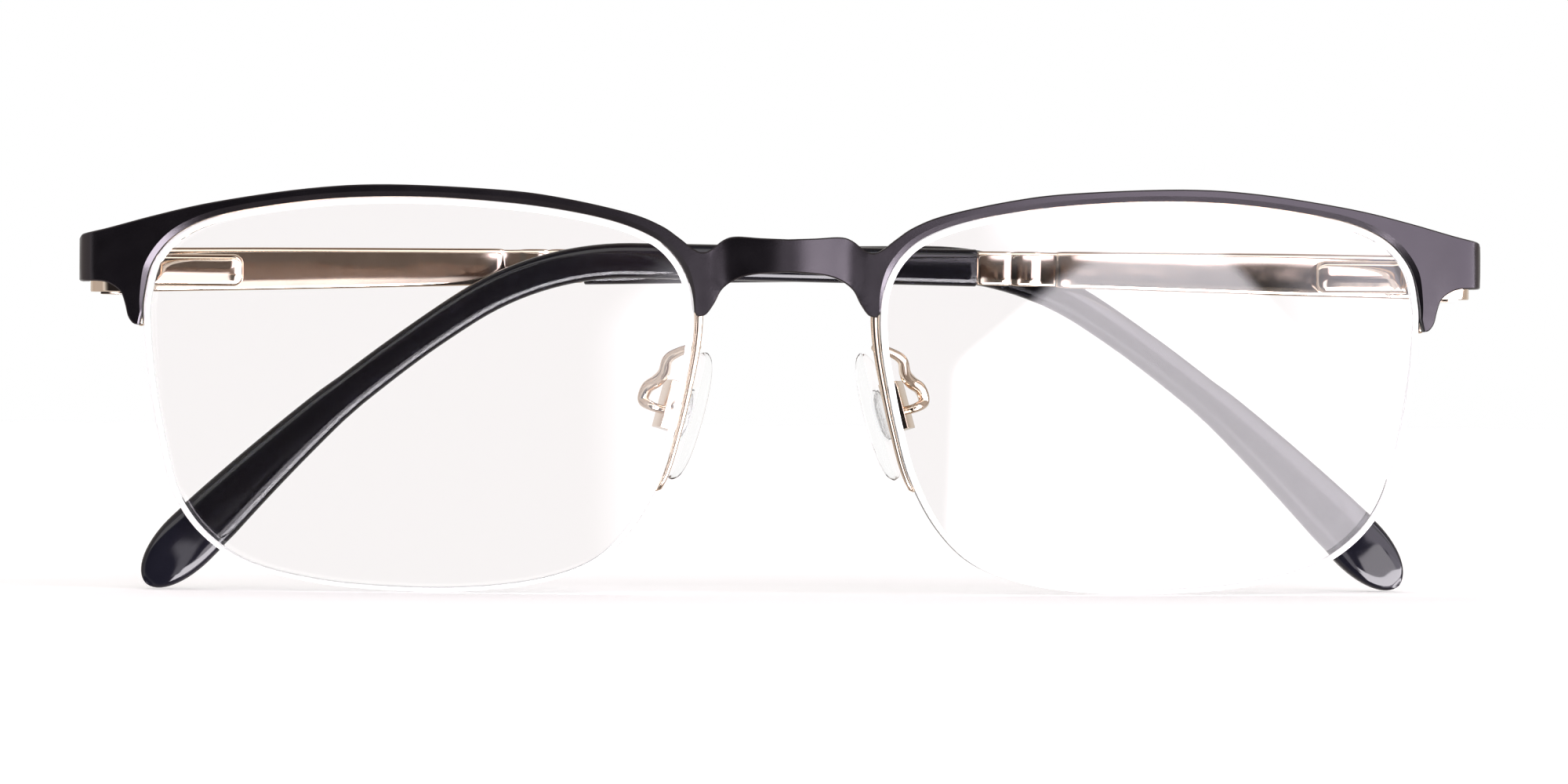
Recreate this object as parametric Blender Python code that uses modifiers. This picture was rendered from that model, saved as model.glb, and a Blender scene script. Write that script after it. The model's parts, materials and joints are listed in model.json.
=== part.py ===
"""Half rim eyeglasses, folded and standing on the lens bottoms and the temple tips.

X runs along the front, with the wearer's left at +X. The front faces -Y, and Z is up.
Every dimension here is in millimetres. MM turns it into Blender's metres.
"""

import math

import bmesh
import bpy
from mathutils import Matrix, Vector

MM = 0.001
SIDES = {"left": 1, "right": -1}

# Curved form of the front
FRONT_RADIUS = 250.0
RISE_RADIUS = 250.0
RISE_CENTRE = 19.5
LEAN = math.tan(math.radians(5.0))
BEND_START = 67.6
BEND_RADIUS = 2.3
SQUARE_FROM = 63.5
DEPTH_CENTRE = 11.52

# Front plate, lens and wires, as depths behind the front face
PLATE_THICKNESS = 0.9
LENS_FRONT = 0.45
LENS_BACK = 2.35
GROOVE_DEPTH = 1.4
GROOVE_HALF_WIDTH = 0.27
GROOVE_CUT = 0.55
EYEWIRE_RADIUS = 0.45
EYEWIRE_END_RADIUS = 0.27
CORD_RADIUS = 0.2
CORD_INSET = 0.3
FIT_GAP = 0.06
RIM_GAP = 0.08
LENS_CENTRE = (36.0, 19.5)
LENS_RINGS = (0.12, 0.4, 0.7, 0.9)

# Lens outline seen from the front, from the low end of the nose-side wire up over the top
RIM_POINTS = [
    (12.2, 11.3), (10.8, 16.2), (9.95, 20.2), (9.3, 24.1), (9.15, 27.4), (9.6, 30.1), (10.9, 32.6),
    (13.2, 34.6), (17.5, 36.25), (24.0, 37.5), (31.1, 38.2), (37.8, 38.45), (44.5, 38.25),
    (51.0, 37.5), (56.2, 36.45), (59.8, 34.75), (62.0, 32.2), (62.8, 29.2), (62.95, 26.3),
]
RIMLESS_POINTS = [
    (62.45, 20.6), (61.4, 14.6), (60.0, 9.3), (57.2, 5.3), (52.7, 2.4), (46.0, 0.75),
    (38.5, 0.09), (31.0, 0.09), (24.0, 0.95), (18.6, 2.9), (14.9, 6.4),
]
STEPS_PER_SPAN = 2
PRONG_POINT = 4

# Outline of the front plate, in its flat pattern
BROW_TOP = [
    (0.0, 34.5), (2.6, 34.6), (5.1, 34.8), (6.7, 34.3), (8.3, 33.5), (9.9, 34.2), (12.4, 35.8),
    (15.5, 37.0), (21.8, 38.4), (28.0, 39.2), (38.9, 39.7), (46.8, 39.3), (55.9, 38.0),
    (62.2, 36.6), (67.0, 35.3), (69.5, 34.85),
]
ENDPIECE_UNDERSIDE = [
    (69.5, 30.25), (67.0, 30.2), (65.9, 29.8), (65.1, 29.1), (64.7, 28.0), (64.4, 26.8),
    (63.9, 26.1),
]
BRIDGE_UNDERSIDE = [
    (8.7, 26.95), (7.9, 27.2), (7.1, 28.3), (6.4, 29.6), (5.2, 30.5), (3.4, 31.05), (0.0, 31.3),
]
WING_TOP = 34.55
WING_BOTTOM = 30.25
WING_CORNER = 0.4
SLICE = 3.0
SLICE_COUNT = 22
BEND_SLICE = 0.5
BEND_SLICES = 7
SLICE_HEIGHTS = (29.0, 32.0, 35.0)

# Hinges. The endpiece's plan is in x and in depth behind the bridge.
ENDPIECE_PLAN = [(63.95, 9.95), (66.3, 10.4), (67.6, 11.05), (68.2, 11.9), (68.2, 12.34),
                 (63.95, 12.34)]
ENDPIECE_LOW = 29.2
ENDPIECE_HIGH = 33.9
HINGE_X = 66.0
HINGE_Y = 15.4
HINGE_Z = 31.5
FOLD_TOE = 1.5
KNUCKLE_RADIUS = 1.25
TONGUE_RADIUS = 1.2
HINGE_LOW = 29.0
HINGE_HIGH = 34.0
SLOT_LOW = 30.55
SLOT_HIGH = 32.45
TONGUE_LOW = 30.6
TONGUE_HIGH = 32.4
SCREW_RADIUS = 0.55
BORE_RADIUS = 0.6
SCREW_HEAD_RADIUS = 1.0
SCREW_HEAD_HEIGHT = 0.45
SCREW_CHAMFER = 0.25
SCREW_SEAT = 0.03
SCREW_RECESS = 0.1
HINGE_BASE_DEPTH = 3.0
KNUCKLE_BACK = 1.4
ARM_IN = 0.45
ARM_OUT = 1.7
ARM_OUTER_START = 1.4

# Temples. U is the distance behind the hinge axis, and W the distance out from it.
BAR_INNER = 2.1
BAR_THICKNESS = 1.2
SLEEVE_START = 46.5
SLEEVE_CENTRE = BAR_INNER + BAR_THICKNESS / 2
SLEEVE_DEPTHS = [(46.5, 1.05), (60.0, 1.15), (100.0, 1.25), (140.0, 1.5)]
SLEEVE_CORNER = 0.62
SLEEVE_MOUTH_INSET = 0.2
SLEEVE_MOUTH_CORNER = 0.5
TIP_STATIONS = (0.95, 0.55, 0.3, 0.13, 0.03)
TIP_LEAST = 0.45
CORE_RADIUS = 0.6
CORE_GAP = 0.1
CORE_END = 118.0
BORE_SPARE = 0.4
TEMPLE_RISE = math.radians(0.85)
TEMPLE_ARCS = [(80.5, 0.0), (17.7, 33.85), (10.0, 4.5), (31.9, 7.4)]
TEMPLE_LENGTH = sum(length for length, turn in TEMPLE_ARCS)
SLEEVE_HALF_HEIGHTS = [(46.5, 1.85), (62.0, 1.8), (80.0, 1.75), (104.0, 1.7), (112.0, 1.8),
                       (122.0, 2.35), (130.0, 2.8), (140.1, 3.05)]
SLEEVE_SAG = 0.8
SAG_ABOVE = 1.95
TIP_ROUND = 6.5
STATION_STEP = 4.3

# Stations of the bar up to the sleeve: length along it, half height and half thickness
BAR_STATIONS = [
    (0.4, 2.2, 0.6), (14.0, 2.12, 0.6), (26.0, 1.98, 0.6), (38.4, 1.82, 0.6), (39.2, 1.75, 0.4),
    (42.2, 1.72, 0.45), (42.8, 1.68, 0.3), (46.45, 1.65, 0.35),
]
BAR_CORNER = 0.25
CORE_STEP = 0.01

# Spring hinge
HOUSING_START = 3.7
HOUSING_END = 12.8
HOUSING_HALF_HEIGHT = 1.6
HOUSING_LAYERS = [(2.04, 1.0, 1.0), (0.62, 1.0, 1.0), (0.27, 0.97, 0.906), (0.12, 0.91, 0.719)]
MOUTH_CUT = (2.7, 5.0)
SLIDE_AXIS_W = 1.08
ROD_RADIUS = 0.36
ROD_OVERLAP = 0.5
ROD_INSET = 0.2
NUT_BORE = 0.41
NUT_RADIUS = 0.6
BORE_WIDE = 0.7
BORE_NARROW = 0.42
COLLAR_END = 4.5
BORE_END = 12.0
NUT_START = 10.3
NUT_END = 11.3
SPRING_WIRE = 0.09
SPRING_RADIUS = 0.53
SPRING_TURNS = 9
SPRING_END_GAP = 0.05
STEPS_PER_TURN = 8

# Nose pads. The frame of each pad is turned by its splay and its slope.
PAD_CENTRE = (9.3, 9.6, 17.3)
PAD_SPLAY = math.radians(22.0)
PAD_SLOPE = math.radians(17.0)
PAD_HALF_LENGTH = 6.5
PAD_HALF_WIDTH = 3.6
PAD_FRONT_SHARE = 0.78
PAD_SQUARENESS = 0.06
PAD_THICKNESS = 1.5
PAD_CROWN = [(-0.86, 0.25), (-0.75, 0.7), (-0.45, 0.92), (0.0, 1.0), (0.45, 0.94), (0.75, 0.75)]
BOX_LIFT = 0.5
BOX_GAP = 0.5
BOX_BACK = 3.1
BOX_WIDTH = 2.2
BOX_HEIGHT = 4.8
BOX_WALL = 0.3
POCKET_BACK = 2.75
CORE_SCALE = 0.39
RECESS_SCALE = 0.42
TAB_START = 0.3
TAB_REACH = 2.45
TAB_HALF_WIDTH = 0.62
TAB_HALF_HEIGHT = 0.95
SCREW_REACH = 1.9
PAD_SCREW_RADIUS = 0.34
PAD_SCREW_HEAD = 0.58
PAD_SCREW_HEIGHT = 0.4
PAD_SCREW_CHAMFER = 0.15
PAD_HOLE_RADIUS = 0.39
ARM_RADIUS = 0.42
ARM_ROOT_POINT = 6
ARM_LEVEL = -0.6
ARM_STRAIGHT = 0.9
ARM_GAP = 0.1

# The nose pad arm's way round, as distance across the front, depth behind it and height
ARM_ROUTE = [
    (9.3, 3.6, 24.0), (10.6, 4.5, 23.6), (11.7, 5.2, 22.9), (12.1, 6.0, 21.6), (12.8, 6.8, 20.8),
    (13.8, 7.4, 20.1), (14.2, 7.6, 18.9),
]

COLOURS = {
    "black": ((0.012, 0.010, 0.013, 1.0), 0.8, 0.38),
    "gold": ((0.80, 0.62, 0.45, 1.0), 1.0, 0.16),
    "steel": ((0.62, 0.61, 0.60, 1.0), 1.0, 0.25),
    "clear": ((0.93, 0.95, 0.95, 0.25), 0.0, 0.04),
    "nylon": ((0.86, 0.86, 0.86, 1.0), 0.0, 0.35),
    "silicone": ((0.90, 0.91, 0.92, 0.4), 0.0, 0.25),
    "sleeve": ((0.010, 0.010, 0.014, 1.0), 0.0, 0.16),
}


# Scene and object helpers

def start_scene():
    for thing in list(bpy.data.objects):
        bpy.data.objects.remove(thing, do_unlink=True)
    groups = []
    for name in ("half_rim_eyeglasses", "cutters"):
        group = bpy.data.collections.new(name)
        bpy.context.scene.collection.children.link(group)
        groups.append(group)
    return groups


def finish_of(name, colour):
    """A Principled material for one sub-part."""
    base, metallic, roughness = COLOURS[colour]
    material = bpy.data.materials.new(name)
    material.use_nodes = True
    shader = material.node_tree.nodes["Principled BSDF"]
    shader.inputs["Base Color"].default_value = base
    shader.inputs["Metallic"].default_value = metallic
    shader.inputs["Roughness"].default_value = roughness
    return material


def add_object(name, data, colour, parent=None):
    thing = bpy.data.objects.new(name, data)
    PARTS.objects.link(thing)
    thing.data.materials.append(finish_of(name, colour))
    thing.parent = parent
    return thing


def make_cutter(thing):
    for group in list(thing.users_collection):
        group.objects.unlink(thing)
    CUTTERS.objects.link(thing)
    thing.hide_render = True
    thing.display_type = "WIRE"
    return thing


def cut(thing, *cutters, operation="DIFFERENCE"):
    for cutter in cutters:
        modifier = thing.modifiers.new(cutter.name, "BOOLEAN")
        modifier.operation = operation
        modifier.object = make_cutter(cutter)


def empty(name, place, turn):
    """The frame of a moving piece, on its joint's axis."""
    thing = bpy.data.objects.new(name, None)
    PARTS.objects.link(thing)
    thing.empty_display_size = 3.0 * MM
    thing.matrix_world = Matrix.Translation(Vector(place) * MM) @ turn.to_4x4()
    return thing


def smooth(mesh, sharp=40.0):
    mesh.shade_smooth()
    mesh.set_sharp_from_angle(angle=math.radians(sharp))


# Curve and outline helpers

def spline(points, steps, closed=False):
    """A smooth curve through the points, with this many steps between each two."""
    count = len(points)
    made = []
    for i in range(count if closed else count - 1):
        ring = [points[(i + k) % count] if closed else points[max(0, min(count - 1, i + k))]
                for k in (-1, 0, 1, 2)]
        a, b, c, d = (Vector(p) for p in ring)
        for k in range(steps):
            t = k / steps
            made.append(0.5 * (2 * b + (c - a) * t + (2 * a - 5 * b + 4 * c - d) * t * t
                               + (3 * b - a - 3 * c + d) * t * t * t))
    return made if closed else made + [Vector(points[-1])]


def offset(points, distance):
    """The closed outline moved outwards by the distance, or inwards where it is negative."""
    moved = []
    for i, point in enumerate(points):
        along = (points[(i + 1) % len(points)] - points[i - 1]).normalized()
        moved.append(point + distance * Vector((-along.y, along.x)))
    return moved


def between(value, table):
    """Straight-line value from a table of pairs."""
    for (a, low), (b, high) in zip(table, table[1:]):
        if value <= b:
            return low + (high - low) * max(0.0, value - a) / (b - a)
    return table[-1][1]


def rounded_section(half_width, half_height, radius, per_corner=3):
    """A rectangle with round corners, as pairs, anticlockwise."""
    made = []
    corners = ((1, 1, 0), (-1, 1, 90), (-1, -1, 180), (1, -1, 270))
    for across, up, start in corners:
        for k in range(per_corner):
            angle = math.radians(start + 90.0 * k / (per_corner - 1))
            made.append((across * (half_width - radius) + radius * math.cos(angle),
                         up * (half_height - radius) + radius * math.sin(angle)))
    return made


def circle(radius, count, centre=(0.0, 0.0)):
    turns = [math.tau * k / count for k in range(count)]
    return [(centre[0] + radius * math.cos(t), centre[1] + radius * math.sin(t)) for t in turns]


# Solids

def skin(name, rings, colour, parent=None, closed=False):
    """One body through rings of equal count, capped at both ends or closed on itself."""
    mesh = bmesh.new()
    loops = [[mesh.verts.new(Vector(point) * MM) for point in ring] for ring in rings]
    for low, high in zip(loops, loops[1:] + loops[:1] if closed else loops[1:]):
        for i in range(len(low)):
            j = (i + 1) % len(low)
            mesh.faces.new((low[i], low[j], high[j], high[i]))
    if not closed:
        mesh.faces.new(loops[0])
        mesh.faces.new(loops[-1])
    bmesh.ops.recalc_face_normals(mesh, faces=mesh.faces[:])
    data = bpy.data.meshes.new(name)
    mesh.to_mesh(data)
    mesh.free()
    smooth(data)
    return add_object(name, data, colour, parent)


def flat_curve(name, outlines, thickness):
    """A filled 2D curve in the XY plane, from z = 0 up to its thickness."""
    curve = bpy.data.curves.new(name, "CURVE")
    curve.dimensions = "2D"
    curve.fill_mode = "BOTH"
    curve.extrude = thickness * MM / 2
    for outline in outlines:
        line = curve.splines.new("POLY")
        line.points.add(len(outline) - 1)
        line.use_cyclic_u = True
        for point, (x, y) in zip(line.points, outline):
            point.co = (x * MM, y * MM, 0.0, 1.0)
    return curve


def flat_mesh(name, outlines, thickness):
    """The same as a mesh with its caps welded, its lower face at z = 0."""
    curve = flat_curve(name, outlines, thickness)
    helper = bpy.data.objects.new(name + "_outline", curve)
    bpy.context.scene.collection.objects.link(helper)
    graph = bpy.context.evaluated_depsgraph_get()
    data = bpy.data.meshes.new_from_object(helper.evaluated_get(graph))
    bpy.data.objects.remove(helper, do_unlink=True)
    mesh = bmesh.new()
    mesh.from_mesh(data)
    bmesh.ops.remove_doubles(mesh, verts=mesh.verts[:], dist=1e-6)
    bmesh.ops.translate(mesh, verts=mesh.verts[:], vec=(0.0, 0.0, thickness * MM / 2))
    bmesh.ops.recalc_face_normals(mesh, faces=mesh.faces[:])
    mesh.to_mesh(data)
    mesh.free()
    return data


def plate(name, outlines, low, high, colour, parent=None):
    """An outline in plan, raised from one height to another."""
    data = flat_mesh(name, outlines, high - low)
    data.transform(Matrix.Translation((0.0, 0.0, low * MM)))
    smooth(data, 30.0)
    return add_object(name, data, colour, parent)


def wire(name, points, radii, colour, parent=None, resolution=2):
    """A round wire through the points, with a radius at each."""
    curve = bpy.data.curves.new(name, "CURVE")
    curve.dimensions = "3D"
    curve.bevel_depth = MM
    curve.bevel_resolution = resolution
    curve.use_fill_caps = True
    line = curve.splines.new("POLY")
    line.points.add(len(points) - 1)
    for point, place, radius in zip(line.points, points, radii):
        point.co = (*(Vector(place) * MM), 1.0)
        point.radius = radius
    return add_object(name, curve, colour, parent)


def turned(name, profile, colour, parent=None, steps=16):
    """A profile of radius and height, from its top to its bottom, turned about Z."""
    mesh = bpy.data.meshes.new(name)
    points = [(radius * MM, 0.0, height * MM) for radius, height in profile]
    mesh.from_pydata(points, [(i, i + 1) for i in range(len(points) - 1)], [])
    thing = add_object(name, mesh, colour, parent)
    screw = thing.modifiers.new("turn", "SCREW")
    screw.steps = steps
    screw.render_steps = steps
    screw.use_merge_vertices = True
    screw.merge_threshold = 1e-6
    screw.use_smooth_shade = False
    return thing


def rod(name, start, end, radius, count=16):
    """A straight cylinder between two points, for joining or cutting."""
    start, end = Vector(start) * MM, Vector(end) * MM
    bpy.ops.mesh.primitive_cylinder_add(vertices=count, radius=radius * MM,
                                        depth=(end - start).length)
    thing = bpy.context.object
    thing.name = name
    turn = Vector((0.0, 0.0, 1.0)).rotation_difference(end - start).to_matrix().to_4x4()
    thing.data.transform(Matrix.Translation((start + end) / 2) @ turn)
    return thing


def block(name, low, high):
    """A box between two corners, for cutting."""
    low, high = Vector(low) * MM, Vector(high) * MM
    bpy.ops.mesh.primitive_cube_add(size=1.0)
    thing = bpy.context.object
    thing.name = name
    size = Matrix.Diagonal((*(high - low), 1.0))
    thing.data.transform(Matrix.Translation((low + high) / 2) @ size)
    return thing


# The curved front

def form(across, depth, up):
    """Where a point of the flat pattern lies on the formed front, across the front and up it."""
    side = -1.0 if across < 0 else 1.0
    across = abs(across)
    angle = math.asin(min(across, BEND_START) / FRONT_RADIUS)
    x = min(across, BEND_START)
    y = FRONT_RADIUS * (1.0 - math.cos(angle))
    past = max(0.0, across - BEND_START)
    turn = min(past / BEND_RADIUS, math.pi / 2 - angle)
    x += BEND_RADIUS * (math.sin(angle + turn) - math.sin(angle))
    y += BEND_RADIUS * (math.cos(angle) - math.cos(angle + turn)) + past - turn * BEND_RADIUS
    angle += turn
    square = min(1.0, max(0.0, (across - SQUARE_FROM) / (BEND_START - SQUARE_FROM)))
    curved = 1.0 - square * square * (3.0 - 2.0 * square)
    inward = depth + curved * (up - RISE_CENTRE) ** 2 / (2 * RISE_RADIUS)
    x -= inward * math.sin(angle)
    y += inward * math.cos(angle) + curved * (HINGE_Z - up) * LEAN
    return Vector((side * x, y - DEPTH_CENTRE, up))


def lens_loop():
    """The closed lens outline. Its first points run up and over the rim."""
    return spline(RIM_POINTS + RIMLESS_POINTS, STEPS_PER_SPAN, closed=True)


RIM_END = (len(RIM_POINTS) - 1) * STEPS_PER_SPAN
WING_END = BEND_START + BEND_RADIUS * (math.pi / 2 - math.asin(BEND_START / FRONT_RADIUS))
WING_LENGTH = HINGE_Y - form(WING_END, 0.0, HINGE_Z).y - DEPTH_CENTRE


def plate_outline():
    """The right half of the flat plate's edge, from the bridge's top round to its underside."""
    end = WING_END + WING_LENGTH
    round_from = end - WING_CORNER
    top = spline(BROW_TOP, 2) + [Vector((WING_END, WING_TOP)), Vector((round_from, WING_TOP)),
                                 Vector((end, WING_TOP - WING_CORNER))]
    under = [Vector((end, WING_BOTTOM + WING_CORNER)), Vector((round_from, WING_BOTTOM)),
             Vector((WING_END, WING_BOTTOM))]
    under += [Vector(point) for point in ENDPIECE_UNDERSIDE]
    rim = offset(lens_loop(), RIM_GAP)[PRONG_POINT * STEPS_PER_SPAN:RIM_END + 1]
    return top + under + rim[::-1] + [Vector(point) for point in BRIDGE_UNDERSIDE]


def brow_plate():
    half = plate_outline()
    mirrored = [Vector((-p.x, p.y)) for p in half[1:-1]]
    data = flat_mesh("brow_plate", [half + mirrored[::-1]], PLATE_THICKNESS)
    reach = WING_END + WING_LENGTH
    cuts = [((x * SLICE, 0.0), (1.0, 0.0)) for x in range(-SLICE_COUNT, SLICE_COUNT + 1)]
    cuts += [((side * (BEND_START + k * BEND_SLICE), 0.0), (1.0, 0.0))
             for side in (-1, 1) for k in range(BEND_SLICES)]
    cuts += [((0.0, z), (0.0, 1.0)) for z in SLICE_HEIGHTS]
    mesh = bmesh.new()
    mesh.from_mesh(data)
    for (x, z), (nx, nz) in cuts:
        geometry = mesh.verts[:] + mesh.edges[:] + mesh.faces[:]
        bmesh.ops.bisect_plane(mesh, geom=geometry, dist=1e-7, plane_co=(x * MM, z * MM, 0.0),
                               plane_no=(nx, nz, 0.0))
    for vert in mesh.verts:
        flat = vert.co / MM
        vert.co = form(max(-reach, min(reach, flat.x)), flat.z, flat.y) * MM
    bmesh.ops.recalc_face_normals(mesh, faces=mesh.faces[:])
    mesh.to_mesh(data)
    mesh.free()
    smooth(data, 30.0)
    return add_object("brow_plate", data, "black")


def lens(name, side):
    """The lens with the groove round its edge, in rings from the front's middle to the back's."""
    edge = lens_loop()
    cut_edge = offset(edge, -GROOVE_CUT)
    centre = Vector(LENS_CENTRE)
    groove_front = GROOVE_DEPTH - GROOVE_HALF_WIDTH
    groove_back = GROOVE_DEPTH + GROOVE_HALF_WIDTH
    rings = [([centre + (p - centre) * scale for p in edge], LENS_FRONT) for scale in LENS_RINGS]
    rings += [(edge, LENS_FRONT), (edge, groove_front), (cut_edge, groove_front),
              (cut_edge, groove_back), (edge, groove_back), (edge, LENS_BACK)]
    rings += [([centre + (p - centre) * scale for p in edge], LENS_BACK)
              for scale in reversed(LENS_RINGS)]
    placed = [[form(side * p.x, depth, p.y) for p in ring] for ring, depth in rings]
    return skin(name, placed, "clear")


def groove_wire(name, side, start, end, colour):
    """A round strand that lies in the lens groove between two points of the outline."""
    line = offset(lens_loop(), -CORD_INSET)
    chosen = [line[i % len(line)] for i in range(start, end + 1)]
    points = [form(side * p.x, GROOVE_DEPTH, p.y) for p in chosen]
    return wire(name, points, [CORD_RADIUS] * len(points), colour)


def eyewire_radius(i):
    taper = min(1.0, i / (PRONG_POINT * STEPS_PER_SPAN))
    return EYEWIRE_END_RADIUS + (EYEWIRE_RADIUS - EYEWIRE_END_RADIUS) * taper


def eyewire(name, side):
    """The gold wire outside the lens edge, from its low nose-side end to the temporal prong."""
    edge = lens_loop()
    points, radii = [], []
    for i in range(RIM_END + 1):
        radius = eyewire_radius(i)
        place = offset(edge, FIT_GAP + radius)[i]
        points.append(form(side * place.x, GROOVE_DEPTH, place.y))
        radii.append(radius)
    return wire(name, points, radii, "gold")


def endpiece(name, side):
    """The gold lug between the plate, the eyewire and the hinge, in plan."""
    outline = [(side * x, y - DEPTH_CENTRE) for x, y in ENDPIECE_PLAN]
    return plate(name, [outline], ENDPIECE_LOW, ENDPIECE_HIGH, "gold")


def front_hinge(name, side):
    """Two knuckles on a base, with a slot between them for the slider's tongue."""
    turns = [math.pi * k / 10 for k in range(11)]
    plan = [(HINGE_X + KNUCKLE_RADIUS * math.cos(t), HINGE_Y + KNUCKLE_RADIUS * math.sin(t))
            for t in turns]
    front = HINGE_Y - HINGE_BASE_DEPTH
    plan += [(HINGE_X - KNUCKLE_RADIUS, front), (HINGE_X + KNUCKLE_RADIUS, front)]
    outline = [(side * x, y - DEPTH_CENTRE) for x, y in plan]
    bore = [(side * x, y - DEPTH_CENTRE) for x, y in circle(BORE_RADIUS, 16, (HINGE_X, HINGE_Y))]
    hinge = plate(name, [outline, bore], HINGE_LOW, HINGE_HIGH, "gold")
    middle = HINGE_Y - DEPTH_CENTRE
    slot = block(name + "_slot", (side * HINGE_X - 2.0, middle - KNUCKLE_BACK, SLOT_LOW),
                 (side * HINGE_X + 2.0, middle + 2.0, SLOT_HIGH))
    cut(hinge, slot)
    return hinge


def hinge_screw(name, side):
    seat = HINGE_HIGH + SCREW_SEAT
    top = seat + SCREW_HEAD_HEIGHT
    end = HINGE_LOW + SCREW_RECESS
    profile = [(0.0, top), (SCREW_HEAD_RADIUS - SCREW_CHAMFER, top),
               (SCREW_HEAD_RADIUS, top - SCREW_CHAMFER), (SCREW_HEAD_RADIUS, seat),
               (SCREW_RADIUS, seat), (SCREW_RADIUS, end), (0.0, end)]
    screw = turned(name, profile, "steel")
    screw.location = Vector((side * HINGE_X, HINGE_Y - DEPTH_CENTRE, 0.0)) * MM
    return screw


# Temples, in the frame of their hinge axis: x is -side * u, y is w, and z is up

def hinge_slider(name, side, pivot):
    """The tongue round the screw with its arm, and the rod that slides in the housing."""
    turns = [math.pi / 2 + 1.5 * math.pi * k / 14 for k in range(15)]
    ring = [(TONGUE_RADIUS * math.cos(t), TONGUE_RADIUS * math.sin(t)) for t in turns]
    arm_end = HOUSING_START - FIT_GAP
    plan = ring + [(TONGUE_RADIUS, ARM_IN), (arm_end, ARM_IN), (arm_end, ARM_OUT),
                   (ARM_OUTER_START, ARM_OUT)]
    outline = [(-side * u, w) for u, w in plan]
    bore = [(-side * u, w) for u, w in circle(BORE_RADIUS, 16)]
    slider = plate(name, [outline, bore], TONGUE_LOW, TONGUE_HIGH, "gold", pivot)
    stem = rod(name + "_rod", (-side * (arm_end - ROD_OVERLAP), SLIDE_AXIS_W, HINGE_Z),
               (-side * (NUT_END - ROD_INSET), SLIDE_AXIS_W, HINGE_Z), ROD_RADIUS, 12)
    stem.parent = pivot
    cut(slider, stem, operation="UNION")
    return slider


def slider_nut(name, side, pivot):
    """The collar on the end of the rod, which the spring pushes against."""
    profile = [(NUT_BORE, NUT_END), (NUT_RADIUS, NUT_END), (NUT_RADIUS, NUT_START),
               (NUT_BORE, NUT_START)]
    rings = []
    for radius, u in profile:
        rings.append([(-side * u, SLIDE_AXIS_W + a, HINGE_Z + b) for a, b in circle(radius, 12)])
    return skin(name, rings, "steel", pivot, closed=True)


def hinge_spring(name, side, pivot):
    """The coil between the collar in the housing and the nut on the rod."""
    start = COLLAR_END + SPRING_WIRE + SPRING_END_GAP
    end = NUT_START - SPRING_WIRE - SPRING_END_GAP
    count = SPRING_TURNS * STEPS_PER_TURN
    points = []
    for k in range(count + 1):
        turn = math.tau * k / STEPS_PER_TURN
        u = start + (end - start) * k / count
        points.append((-side * u, SLIDE_AXIS_W + SPRING_RADIUS * math.cos(turn),
                       HINGE_Z + SPRING_RADIUS * math.sin(turn)))
    return wire(name, points, [SPRING_WIRE] * len(points), "steel", pivot, resolution=0)


def spring_housing(name, side, pivot):
    """The raised box on the inner side of the temple, round at its far end and hollow.

    Each of its layers is a distance out from the axis, with the scale of its length and height."""
    turns = [math.pi / 2 - math.pi * k / 10 for k in range(11)]
    radius = HOUSING_HALF_HEIGHT
    face = [(HOUSING_START, HINGE_Z - radius), (HOUSING_START, HINGE_Z + radius)]
    face += [(HOUSING_END - radius + radius * math.cos(t), HINGE_Z + radius * math.sin(t))
             for t in turns]
    middle = (HOUSING_START + HOUSING_END - radius) / 2
    rings = []
    for w, length, height in HOUSING_LAYERS:
        rings.append([(-side * (middle + (u - middle) * length), w,
                       HINGE_Z + (z - HINGE_Z) * height) for u, z in face])
    housing = skin(name, rings, "gold", pivot)
    wide = rod(name + "_bore", (-side * COLLAR_END, SLIDE_AXIS_W, HINGE_Z),
               (-side * BORE_END, SLIDE_AXIS_W, HINGE_Z), BORE_WIDE, 14)
    narrow = rod(name + "_mouth", (-side * MOUTH_CUT[0], SLIDE_AXIS_W, HINGE_Z),
                 (-side * MOUTH_CUT[1], SLIDE_AXIS_W, HINGE_Z), BORE_NARROW, 12)
    for cutter in (wide, narrow):
        cutter.parent = pivot
    cut(housing, wide, narrow)
    return housing


def temple_line(s):
    """Point and direction of the temple's middle line, at a length from the hinge axis."""
    place = Vector((0.0, HINGE_Z))
    angle = -TEMPLE_RISE
    for length, degrees in TEMPLE_ARCS:
        run = min(s, length)
        turn = math.radians(degrees) * run / length
        middle = angle + turn / 2
        chord = run * (math.sin(turn / 2) / (turn / 2) if turn else 1.0)
        place += chord * Vector((math.cos(middle), -math.sin(middle)))
        angle += turn
        s -= run
    return place, Vector((math.cos(angle), -math.sin(angle)))


def temple_ring(side, s, section, shift=0.0):
    """A section of pairs, out from the wearer and up, set square to the temple's line."""
    place, along = temple_line(s)
    up = Vector((-along.y, along.x))
    ring = []
    for w, h in section:
        point = place + up * (h + shift)
        ring.append((-side * point.x, SLEEVE_CENTRE + w, point.y))
    return ring


def core_section(radius):
    return rounded_section(radius, radius, radius - 0.02)


def temple_bar(name, side, pivot):
    """The bar, its thinner stretch in front of the sleeve, and the round core in the sleeve."""
    rings = [temple_ring(side, s, rounded_section(thickness, height, BAR_CORNER))
             for s, height, thickness in BAR_STATIONS]
    start = BAR_STATIONS[-1][0] + CORE_STEP
    count = int((CORE_END - start) / STATION_STEP)
    for k in range(count + 1):
        s = start + (CORE_END - start) * k / count
        rings.append(temple_ring(side, s, core_section(CORE_RADIUS)))
    return skin(name, rings, "gold", pivot)


def sleeve_size(s):
    """Half height and half thickness of the sleeve, rounded off at the tip."""
    height = between(s, SLEEVE_HALF_HEIGHTS)
    thickness = between(s, SLEEVE_DEPTHS)
    left = min(1.0, (TEMPLE_LENGTH - s) / TIP_ROUND)
    rounding = math.sqrt(1.0 - (1.0 - left) ** 2)
    return height * rounding, thickness * max(TIP_LEAST, rounding)


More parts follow.
